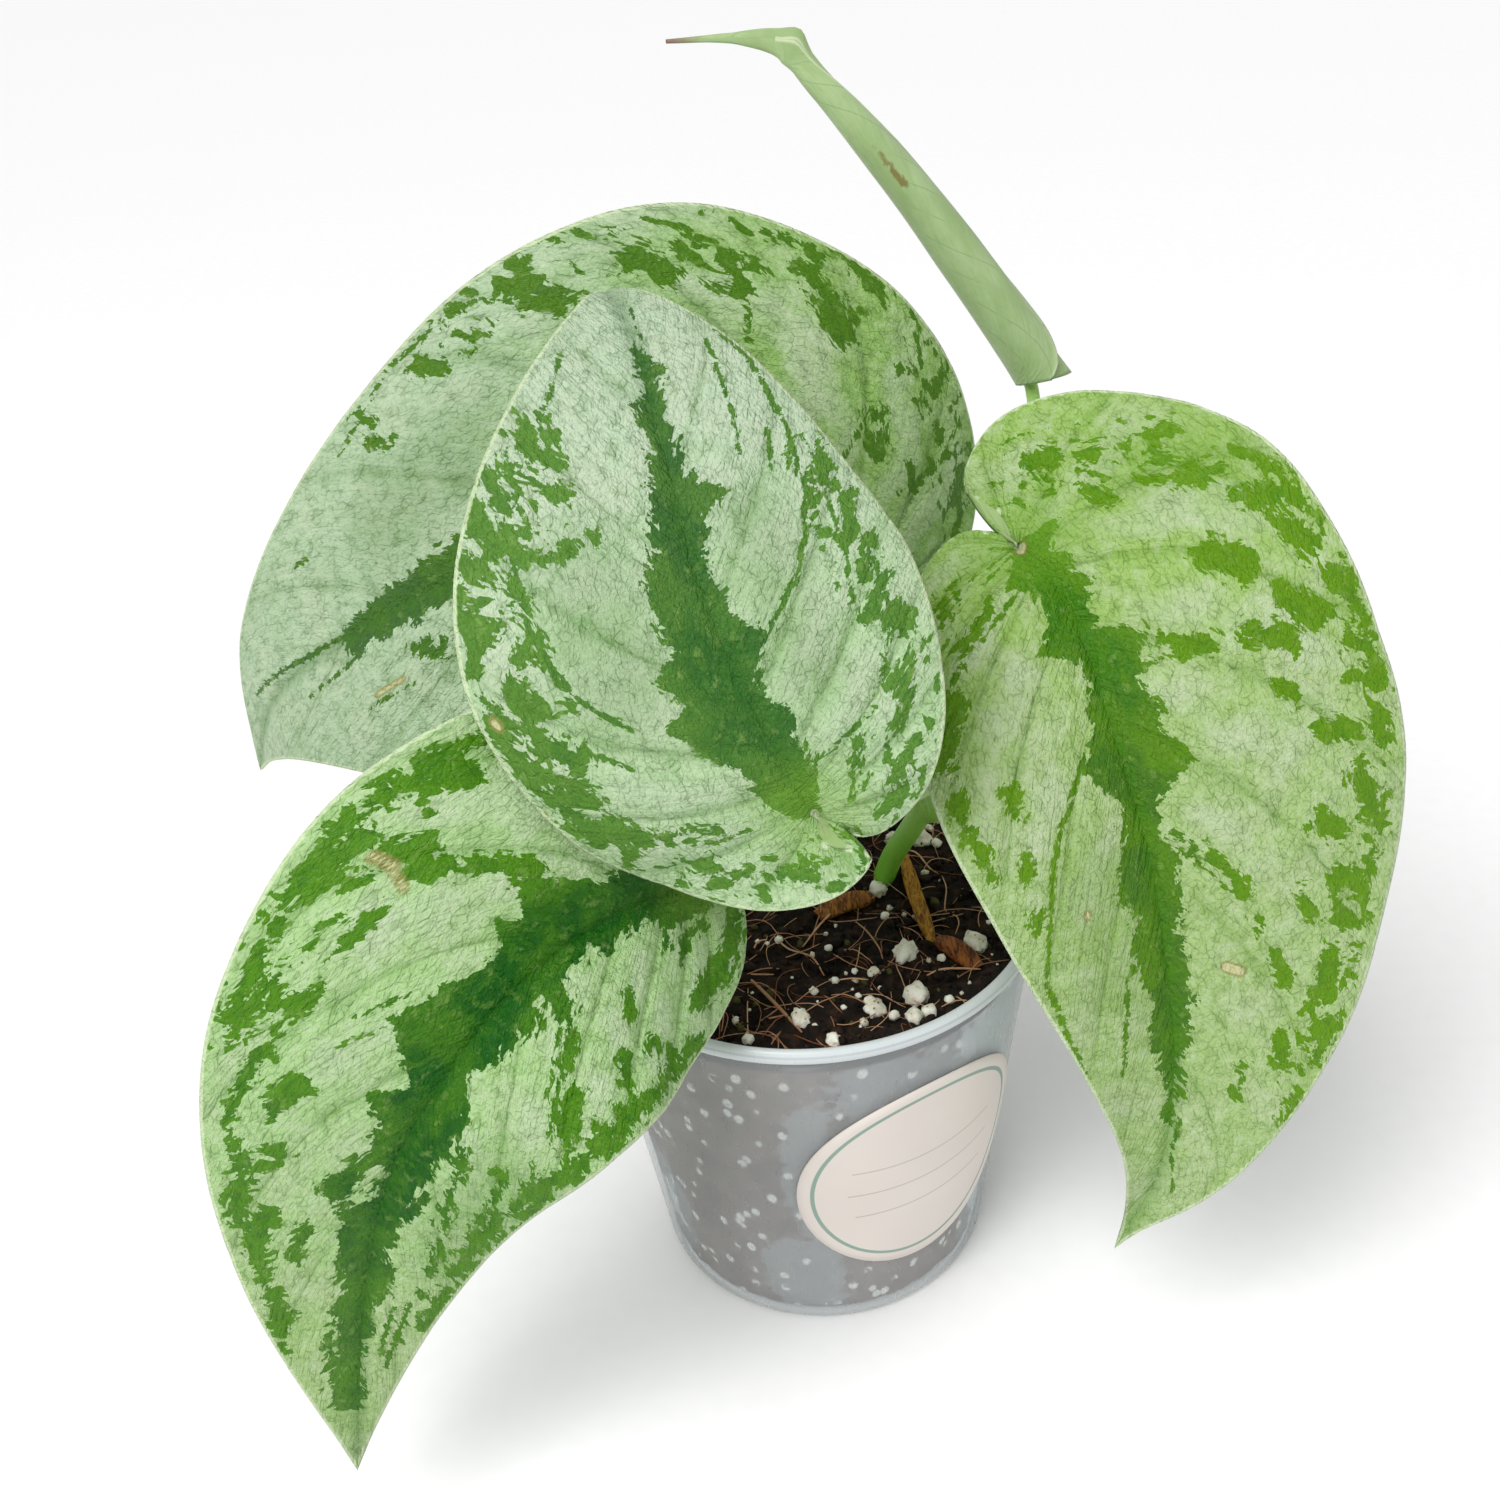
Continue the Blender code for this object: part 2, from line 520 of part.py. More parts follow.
def thicken(points, faces, thickness):
    """A closed solid on both sides of a sheet, split into triangles alike on both faces."""
    corners = points[np.array(faces)]
    flat = np.cross(corners[:, 1] - corners[:, 0], corners[:, 2] - corners[:, 0])
    normals = np.zeros_like(points)
    for k in range(3):
        np.add.at(normals, np.array(faces)[:, k], flat)
    normals /= np.linalg.norm(normals, axis=1)[:, None]
    count = len(points)
    solid = np.vstack([points + normals * thickness / 2, points - normals * thickness / 2])
    skin = list(faces) + [tuple(count + c for c in reversed(face)) for face in faces]
    edges = {(face[k], face[(k + 1) % 3]) for face in faces for k in range(3)}
    for a, b in sorted(edges):
        if (b, a) not in edges:
            skin += [(b, a, count + a), (b, count + a, count + b)]
    return solid, skin


def make_blade(name):
    sheet = blade_sheet(BLADES[name], BLADE_ROWS, BLADE_COLUMNS)
    finish(mesh_object(name, *thicken(*sheet, BLADE_THICKNESS)), name)


def spear_base():
    """The spear's heading at its base, and the way its slanted cut runs down."""
    ahead = (Vector(SPEAR_PATH[1]) - Vector(SPEAR_PATH[0])).normalized()
    return ahead, (SPEAR_CUT_SIDE - SPEAR_CUT_SIDE.dot(ahead) * ahead).normalized()


def make_spear():
    """A rolled sheet's outer shape: each section is a spiral whose free edge makes the seam."""
    steps = 22
    shares = [i / (steps - 1) for i in range(steps)]
    path, _ = smooth_path(SPEAR_PATH, shares)
    widths = np.interp(shares, *zip(*SPEAR_WIDTH)).tolist()
    flats = np.interp(shares, *zip(*SPEAR_FLATNESS)).tolist()
    points, faces, side = [], [], Vector((0.2, -0.8, 0.5))
    heading, slant = spear_base()
    for i in range(steps):
        ahead = Vector(path[min(i + 1, steps - 1)] - path[max(i - 1, 0)]).normalized()
        side = (side - side.dot(ahead) * ahead).normalized()
        other = ahead.cross(side)
        seam = SPEAR_SEAM * min(1, widths[i] / 3) * max(0, 1 - 1.3 * shares[i])
        for k in range(SPEAR_SIDES):
            a = 2 * math.pi * k / (SPEAR_SIDES - 1) + 1.1
            reach = widths[i] - seam * (1 - k / (SPEAR_SIDES - 1))
            if seam == 0:
                a = 2 * math.pi * k / SPEAR_SIDES + 1.1
            out = reach * (flats[i] * math.cos(a) * side + math.sin(a) * other)
            slip = 0 if i else -SPEAR_CUT * out.dot(slant)
            points.append(Vector(path[i]) + out + slip * heading)
    for i in range(steps - 1):
        for k in range(SPEAR_SIDES):
            n = (k + 1) % SPEAR_SIDES
            a, b = i * SPEAR_SIDES, (i + 1) * SPEAR_SIDES
            faces += [(a + k, a + n, b + n), (a + k, b + n, b + k)]
    faces.append(tuple(range(SPEAR_SIDES)))
    faces.append(tuple((steps - 1) * SPEAR_SIDES + k for k in range(SPEAR_SIDES)))
    finish(mesh_object("leaf_rolled", points, faces), "leaf_rolled")


def main():
    clear_scene()
    make_pot()
    make_label()
    make_soil()
    make_stem()
    for name in BLADES:
        make_blade(name)
    make_spear()


main()
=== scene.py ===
"""The looks of a young satin pothos in its milky nursery cup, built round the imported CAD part.

Lengths are millimetres until MM turns them into metres, and angles are degrees.
The shape functions and sizes of the blades, stalks, soil and cup repeat the part's own.
"""

import math

import bmesh
import bpy
import numpy as np
from mathutils import Matrix, Vector, noise


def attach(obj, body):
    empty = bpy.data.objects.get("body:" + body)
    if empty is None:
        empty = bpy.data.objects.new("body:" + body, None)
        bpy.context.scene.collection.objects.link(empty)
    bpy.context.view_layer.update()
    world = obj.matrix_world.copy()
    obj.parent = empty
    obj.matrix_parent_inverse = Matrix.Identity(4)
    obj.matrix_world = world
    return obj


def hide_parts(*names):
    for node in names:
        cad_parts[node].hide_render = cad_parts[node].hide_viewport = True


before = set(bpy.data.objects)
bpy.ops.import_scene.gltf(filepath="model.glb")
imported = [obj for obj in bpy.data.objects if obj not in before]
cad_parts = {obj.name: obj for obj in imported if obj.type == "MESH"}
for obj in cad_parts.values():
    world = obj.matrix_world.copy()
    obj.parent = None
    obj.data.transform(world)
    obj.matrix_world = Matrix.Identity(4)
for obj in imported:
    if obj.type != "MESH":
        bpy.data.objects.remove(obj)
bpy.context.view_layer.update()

MM = 0.001
BODY = "root"

# The camera of the photograph: 38 mm on a 36 mm sensor, looking down at the front of the cup.
CAMERA_LENS = 38.0
CAMERA_SENSOR = 36.0
CAMERA_PLACE = Vector((0, -216.1, 241.8))
CAMERA_AIM = Vector((-7.4, 0, 103.5))
CAMERA_ROLL = -4.75

# The studio, with its lights in metres: (name, place, size, power).
SURROUND_STRENGTH = 0.54
SKY_STRENGTH = 1.8
SKY_SPREAD = 34
SKY_HEADING = Vector((0.35, 0.45, -0.85))
LIGHT_AIM = Vector((-0.01, 0, 0.10))
SOFT_LIGHTS = [("key_light", (-0.45, -0.45, 0.75), 0.40, 1.6), ("fill_light", (0.70, -0.55, 0.45), 0.60, 0.6)]
FLOOR_REACH = 3000.0

# The cup.
CUP_HEIGHT = 74.0
CUP_BASE_RADIUS = 30.5
CUP_SHOULDER_RADIUS = 39.2
CUP_RIM_RADIUS = 40.0
CUP_RIM_HEIGHT = 2.4
CUP_WALL = 0.9
CUP_SEGMENTS = 144
DRAIN_HOLES = 6
DRAIN_RING = 18.0
DRAIN_RADIUS = 2.5
DRAIN_TURN = 0.31
DRAIN_SIDES = 28

# The label.
LABEL_RADIUS = 23.0
LABEL_TURN = 30.0
LABEL_HEIGHT = 37.5
LABEL_LIFT = 0.12
LABEL_THICKNESS = 0.28
LABEL_RINGS = 14
LABEL_SIDES = 120
LABEL_EDGE_ROUNDING = 0.08
# The writing lines, as (height, half length), and how far in from the edge the ring runs.
WRITING_LINES = ((5.0, 14.0), (-1.0, 14.5), (-7.0, 13.0))
RING_INSET = 2.6

# The potting mix.
SOIL_TOP = 68.6
SOIL_BUMP = 1.1
SOIL_GAP = 0.3
SEEN_PERLITE = [(13, 6, 1.7), (16, -13, 2.0), (28, -10, 1.9), (17, -21.5, 2.0), (10, -24.6, 1.7),
                (-2, -27, 1.4), (3, -31, 1.3), (22, 19, 2.0)]
MORE_PERLITE = 14
FINE_GRAINS = 110
CRUMBS = 1100
STRANDS = 230
# The block's sides, the rings up its side and over its top, and its floor's height.
SOIL_SIDES = 220
SIDE_RINGS = 26
TOP_RINGS = 64
SOIL_FLOOR = 1.25
# The mix's materials, by their place in its list.
CRUMB, PERLITE, BARK, FIBRE = range(4)
# Gaps between the mix and the cup, with the light that comes into them painted on the mix as paler
# patches: (bearing, height, half angle, half height, strength); bearing 0 is the front.
GAPS = [(-63, 17, 14, 15, 0.9), (-8, 11, 19, 17, 0.6), (-3, 40, 14, 26, 0.5), (16, 62, 24, 13, 0.5),
        (56, 54, 24, 26, 1.5), (68, 24, 17, 28, 1.3), (124, 26, 26, 22, 0.35), (172, 54, 24, 16, 0.35),
        (-108, 18, 24, 16, 0.3), (-150, 50, 18, 20, 0.35)]

# The stem and the leaf stalks.
STEM_RADIUS = 2.0
STEM_PATH = [(13.0, 10.0, 57), (13.6, 9.4, 66), (15.8, 8.4, 74), (19.4, 6.5, 82), (22.6, 5, 90),
             (24.6, 4.2, 96)]
STALK_RADIUS = 1.6
STALK_TIP_RADIUS = 1.15
FORK = (25, 4, 97)
FORK_SHEATH = (22.3, 5.2, 88)
STALK_REACH = 6.0
STALK_STEPS = 60
STEM_STEPS = 30
STEM_VOXEL = 0.34
STEM_SMOOTHING = 8

# The new leaf is still rolled into a spear, with its drip tip bent to the left.
SPEAR_PATH = [(45.1, 37.2, 148.9), (34.1, 40.5, 165), (24.3, 42.6, 178.6), (15.2, 43.4, 190),
              (9.6, 43.4, 196.8), (6.0, 43.3, 201.3), (3.8, 42.9, 202.5), (-2.8, 41.3, 203.7),
              (-12.5, 39.5, 204.2)]
SPEAR_WIDTH = [(0.0, 4.6), (0.05, 4.5), (0.3, 4.0), (0.52, 3.1), (0.66, 2.3), (0.74, 2.2), (0.77, 2.6),
               (0.8, 2.0), (0.88, 0.8), (0.93, 0.5), (1.0, 0.3)]
SPEAR_FLATNESS = [(0.0, 1.0), (0.66, 0.95), (0.76, 0.45), (0.86, 0.5), (1.0, 0.9)]
SPEAR_SEAM = 0.8
SPEAR_STEPS = 120
SPEAR_SIDES = 72
SPEAR_SEAM_TURN = [(0, -17), (0.03, 20), (0.07, 51), (0.12, 72), (0.2, 88), (0.42, 88), (0.5, 80),
                   (0.62, 66), (0.73, 25), (0.8, 5), (1, 0)]
SPEAR_STALK = [(30, 11, 107), (37, 22, 123), (42.5, 32, 138)]
SPEAR_STALK_SIDE = Vector((-2.4, -1.2, -1.2))
SPEAR_CUT = 0.45
SPEAR_CUT_SIDE = Vector((0.75, 0.2, 0.5))
SPEAR_STALK_REACH = 3.0
SPEAR_BEND = 0.775
SPEAR_CREST = Vector((0.55, 0, 0.85))
SPEAR_SCAR = (Vector((18.1, 39.8, 186.9)), Vector((22.7, 39.4, 181.1)))
SPEAR_SCAR_WIDTH = 0.7
# Veins on the rolled leaf: how far apart and how slanting they run.
ROLL_VEIN_SPACING = 5.2
ROLL_VEIN_LEAN = 1.35

# What lies on the mix: small perlite grains as (x, y, radius), bark strips as (route, width,
# depth, tone) and roots as (tone, radius, route), where a route's last number is its height off the mix.
SMALL_PERLITE = [(13.5, -2, 0.8), (10.5, -17, 1.1), (7.3, -15.4, 0.6), (4, -17.6, 0.7), (8, -28, 0.8),
                 (7.5, -22.8, 0.6), (5, -25.5, 0.5), (13, -26.5, 1.0), (16, -28, 1.6), (18.5, -27, 1.3),
                 (22, -24.5, 0.9), (-10.4, -31.5, 1.1), (21.8, -14.5, 0.8), (3.3, -9.7, 0.8),
                 (-5, -6.5, 0.8), (0.4, -20.5, 0.8), (24.5, 17.5, 1.0)]
BARK_STRIPS = [
    ([(18.3, 13.5, 0.6), (18.9, 6, 1.4), (19.8, -3, 1.6), (20.6, -10.5, 0.4)], 2.7, 1.0, 0.95),
    ([(2, -1.5, 0.6), (6.5, 1.5, 1.2), (11.5, 4.5, 0.5)], 4.6, 2.0, 0.35),
    ([(21.5, -9.5, 0.3), (24.5, -12.5, 0.9), (27.8, -16, 0.3)], 4.0, 1.8, 0.10),
    ([(-17, 3, 0.5), (-14, 6, 1.0), (-11.5, 9.5, 0.4)], 3.6, 1.8, 0.25),
    ([(-8, 20, 0.4), (-4.5, 22.5, 1.0), (-1.5, 24.5, 0.3)], 3.2, 1.6, 0.30),
    ([(4, 27, 0.4), (10, 28.5, 0.8), (15, 27, 0.3)], 2.2, 1.0, 0.60),
    ([(-27, -8, 0.4), (-24, -12, 0.8), (-22, -17, 0.3)], 2.6, 1.2, 0.50),
]
SEEN_ROOTS = [
    (0.95, 0.16, (18.3, 16, 0.4), (20.4, 14, 1.2), (22.6, 10.7, 0.8), (24, 9.7, 0.2)),
    (0.75, 0.13, (24.5, 8.2, 0.5), (24.7, 3.5, 0.9), (24, -1.4, 0.5), (25.6, -3.3, 0.8),
     (25.8, -5.5, 0.6), (24.9, -8, 0.3)),
    (0.70, 0.20, (18.8, -17.8, 0.3), (21.3, -17, 0.9), (24.6, -16.8, 1.0), (28, -16.8, 0.4)),
    (0.80, 0.18, (-1, -8, 0.4), (2.9, -3.2, 1.3), (6.6, 0.2, 1.9), (11.3, 2.3, 1.2)),
    (0.75, 0.16, (-5.7, -5.6, 0.4), (-3.4, -9, 1.1), (0.5, -12, 1.0), (2.3, -15.7, 0.3)),
    (0.85, 0.15, (-9.5, -9.5, 0.4), (-8.5, -7.5, 0.8), (-7, -6.3, 0.4)),
    (0.80, 0.16, (-9.9, -15.4, 0.6), (-6, -16, 0.5)),
    (0.45, 0.30, (-10.5, -15.5, 0.5), (-7.4, -20.8, 1.0), (-4.6, -25.3, 0.9), (-1.9, -29.8, 0.3)),
    (1.00, 0.10, (-10.3, -18.6, 0.4), (-10.5, -24, 0.9), (-10.4, -30.4, 0.3)),
    (0.95, 0.14, (3.9, -17.4, 0.5), (6.8, -17.7, 0.7), (9.4, -18.4, 0.4)),
    (0.55, 0.15, (8.4, -3.2, 0.5), (10.2, -7.2, 1.0), (11.9, -11, 0.7), (12.2, -13.6, 0.3)),
    (0.90, 0.10, (8.7, -9.1, 0.3), (8.1, -12.7, 0.9), (7.5, -14.7, 0.4)),
    (0.60, 0.16, (-8.4, -25.5, 0.4), (-4.3, -25.6, 0.6)),
    (0.30, 0.17, (-5.2, -29.5, 0.4), (-5.8, -32.5, 2.2), (-6.2, -35.5, 4.6)),
    (0.30, 0.13, (-6.6, -31, 0.4), (-6.3, -34.5, 3.4), (-6.6, -36.6, 4.9)),
]

LEAF_THICKNESS = 0.5
HEADING_REACH = 30
VEIN_ROWS = 250
VEIN_COLUMNS = 56
LINE_WIDTH = 0.65
VEIN_START = 3.5
VEIN_SWEEP = 0.13
ROW_SPREAD = 0.7
SIDE_VEINS = 9
# The turn of the blocky patches on each half, and the sizes of the three layers of blocks.
BLOCK_TURNS = (40, 48)
BLOCK_SIZES = ((1.7, 3.2), (0.70, 1.30), (0.32, 0.60))
STATIONS = 300
THIN_LINE_TRIM = 0.14
# Side veins: the groove's width and depth, the swelling and the puckers between them, how far the
# second half's veins are shifted, and the spacing at which the relief is whole.
VEIN_WIDTH = 0.9
VEIN_DEPTH = 0.24
SWELL_HEIGHT = 0.50
PUCKER_HEIGHT = 0.20
SECOND_HALF_SHIFT = 0.35
FULL_SPACING = 7
# How far in from the margin the blade thins, and the least share of its thickness that stays.
MARGIN_ROUNDING = 0.9
MARGIN_LEAST = 0.12
# The midrib as (height, width, share lost at the tip): the groove above and the rib below.
MIDRIB_GROOVE = (0.30, 0.9, 0.75)
MIDRIB_RIDGE = (0.75, 1.2, 0.85)


def lobe(back, inner, corner, widest, rise, fall):
    """How one half of a blade is cut: the lobe behind the stalk, the widest place and the taper."""
    return dict(back=back, inner=inner, corner=corner, widest=widest, rise=rise, fall=fall)


# Each blade: its midrib from stalk to tip, the way its face looks at base, middle and tip,
# then for its left and right half the width, the fold up from the midrib, the arch down to
# the margin, the turn of the lobe behind the stalk, the cut, and the margin's gentle waves.
BLADES = {
    "leaf_front": dict(
        midrib=[(2, -41, 119), (-3, -40, 130), (-8.5, -36, 143), (-12, -29.5, 154), (-15, -19, 165),
                (-18, -7, 173), (-22, 6, 177), (-24, 10.5, 175.5)],
        face=[(0.05, -1.0, 0.10), (0.16, -0.74, 0.65), (0.09, -0.26, 0.96)],
        width=(33.5, 28), fold=[(8, 8, 5), (8, 8, 5)], arch=[(30, 26, 30), (24, 26, 35)], turn=(45, -14),
        cut=[lobe(0.13, -0.18, 0.05, 0.35, 1.6, 1.15), lobe(0.08, 0.06, 0.20, 0.32, 1.7, 1.05)],
        wave=[(0.5, 2.6, 0.1), (0.4, 2.2, 0.5)],
        stalk=[(23, -6, 101), (16, -20, 106), (8, -32, 113)]),
    "leaf_left": dict(
        midrib=[(-16, -28, 100), (-27, -43, 105), (-39, -54, 103), (-49, -60, 94), (-59, -62, 79),
                (-68, -63, 54), (-76, -67, 17)],
        face=[(0.2, -0.85, 0.45), (0.05, -0.93, 0.3), (0.2, -0.9, 0.1)],
        width=(26.5, 35.3), fold=[(14, 14, 5), (14, 14, 5)], arch=[(22, 22, 20), (26, 24, 20)],
        turn=(-10, 10),
        cut=[lobe(0.06, 0.06, 0.25, 0.26, 1.5, 1.2), lobe(0.10, 0.06, 0.30, 0.26, 1.5, 1.1)],
        wave=[(0.6, 2.5, 0.3), (0.8, 3.0, 0.0)],
        stalk=[(19, 0, 98), (7, -10, 99), (-7, -19, 98)]),
    "leaf_right": dict(
        midrib=[(35, -1, 137), (39, -8, 135), (43, -16, 127), (46, -22, 117), (50, -28, 103),
                (53, -33, 86), (55, -37, 66), (54, -39, 44), (48, -38, 24)],
        face=[(-0.3, -0.55, 0.75), (0.1, -0.9, 0.4), (-0.5, -0.8, 0.2)],
        width=(41, 29), fold=[(14, 14, 5), (16, 16, 5)], arch=[(24, 24, 20), (20, 20, 20)], turn=(22, -30),
        cut=[lobe(0.135, -0.08, 0.20, 0.29, 1.9, 1.50), lobe(0.06, 0.06, 0.20, 0.29, 1.5, 1.4)],
        wave=[(0.8, 3.0, 0.2), (0.5, 2.4, 0.6)],
        stalk=[(31, 8, 106), (37, 11, 117), (39, 8, 126)]),
    "leaf_back": dict(
        midrib=[(10, 8, 123), (-4, 1, 136), (-19, -2, 143), (-35, -4, 144), (-50, -4, 139),
                (-68, 0, 129), (-84, 7, 115), (-94, 17, 95)],
        face=[(0.3, -0.8, 0.45), (-0.3, -0.75, 0.58), (-0.8, -0.6, 0.10)],
        width=(46, 51), fold=[(0, 0, 5), (10, 10, 5)], arch=[(34, 34, 25), (18, 18, 20)], turn=(-20, -10),
        cut=[lobe(0.12, 0.05, 0.30, 0.25, 1.5, 1.25), lobe(0.135, 0.05, 0.36, 0.26, 0.95, 0.9)],
        wave=[(0.8, 2.6, 0.4), (1.0, 3.2, 0.1)],
        stalk=[(24, 9, 105), (19, 15, 113), (12, 17, 119)]),
}

# Where each blade is green: the jagged feather's reach on each side of the midrib, as (along,
# out) places, and strokes of (half width, points) on the silver. Out is below zero on the left half.
FEATHERS = {
    "leaf_front": [
        [(-1, -2), (0, 1), (1, 3), (4, 5), (8, 5.5), (11, 6), (14, 7.6), (18, 9.4), (20.5, 12), (22, 8.5),
         (24, 9), (26, 10.5), (28, 6.5), (33, 7.2), (37, 6.8), (40, 5.3), (45, 4.6), (50, 3.2), (54, 1.8),
         (61, 2.8), (63, 0.7), (70, 0.6), (73, -2)],
        [(-1, -2), (0, 1), (4, 1.9), (9, 3.7), (12, 2.6), (13.7, 5), (17, 2.8), (20, 1.6), (24, 5), (26, 6),
         (29, 2.8), (35, 1.6), (39, 1.9), (44, 4), (46.5, 7), (49, 2.5), (54, 1.9), (61, 2), (67, 2),
         (71, 1.4), (73, -2)]],
    "leaf_left": [
        [(0, 5), (8, 6), (11, 6), (14, 3.3), (20, 3.2), (22, 5), (25, 2.2), (29, 2.3), (32, 5), (34, 9),
         (36, 6), (42, 5), (46, 5), (49, 2.7), (55, 5.4), (60, 7), (64, 5.9), (71, 5.4), (78, 4.2),
         (86, 2.8), (95, 3.2), (99, 1.5), (108, 0.7), (118, 0.6), (121, -2)],
        [(0, 8), (15, 6), (20, 6), (25, 10), (28, 12.5), (31, 7.5), (33, 9), (35, 6.3), (39, 6), (43, 8.6),
         (48, 11.5), (51, 7.5), (55, 4), (59, 8.6), (62, 5), (66, 4), (70, 7), (75, 9.8), (78, 6), (84, 5),
         (91, 4.2), (100, 4), (112, 4), (119, 3.5), (121, -2)]],
    "leaf_right": [
        [(-1, -2), (0, 2), (1, 7.3), (3, 4.5), (5, 2.5), (7, 4), (9, 2.8), (11, 5.4), (15, 3), (18, 2.4),
         (20, 8), (23, 11), (24.5, 13), (26, 6), (29, 6), (31.5, 7.6), (34, 6), (38, 8.5), (40, 9.8),
         (42, 6), (45, 3.5), (49, 2.4), (52, 3.7), (61, 3.2), (64, 2.5), (70, 3.6), (77, 3.1), (83, 2.5),
         (88, 1.1), (95, 1.1), (99, 0.5), (101, -2)],
        [(-1, -2), (0, 1), (2, 3), (5, 4.5), (7, 8), (9, 4), (14, 3.6), (19, 7.6), (21, 2.3), (24, 2),
         (27, 2.8), (32, 3.3), (36.5, 7.3), (39, 5), (43, 3.2), (49, 4.6), (54, 5.8), (57, 7.2), (60, 4.6),
         (66, 6), (70, 5.8), (74, 3.8), (82, 4), (87, 2.5), (93, 1.2), (99, 0.6), (101, -2)]],
    "leaf_back": [
        [(0, 3), (15, 5), (22, 3), (30, 5), (45, 4), (60, 3.6), (70, 3.2), (82, 3.8), (88, 3.2), (91, 2),
         (93, -2)],
        [(0, 4), (14, 6), (20, 4), (25, 6), (45, 5), (60, 6), (67, 5.4), (74, 4.6), (79, 3.2), (84, 2),
         (91, 1.4), (93, -2)]],
}
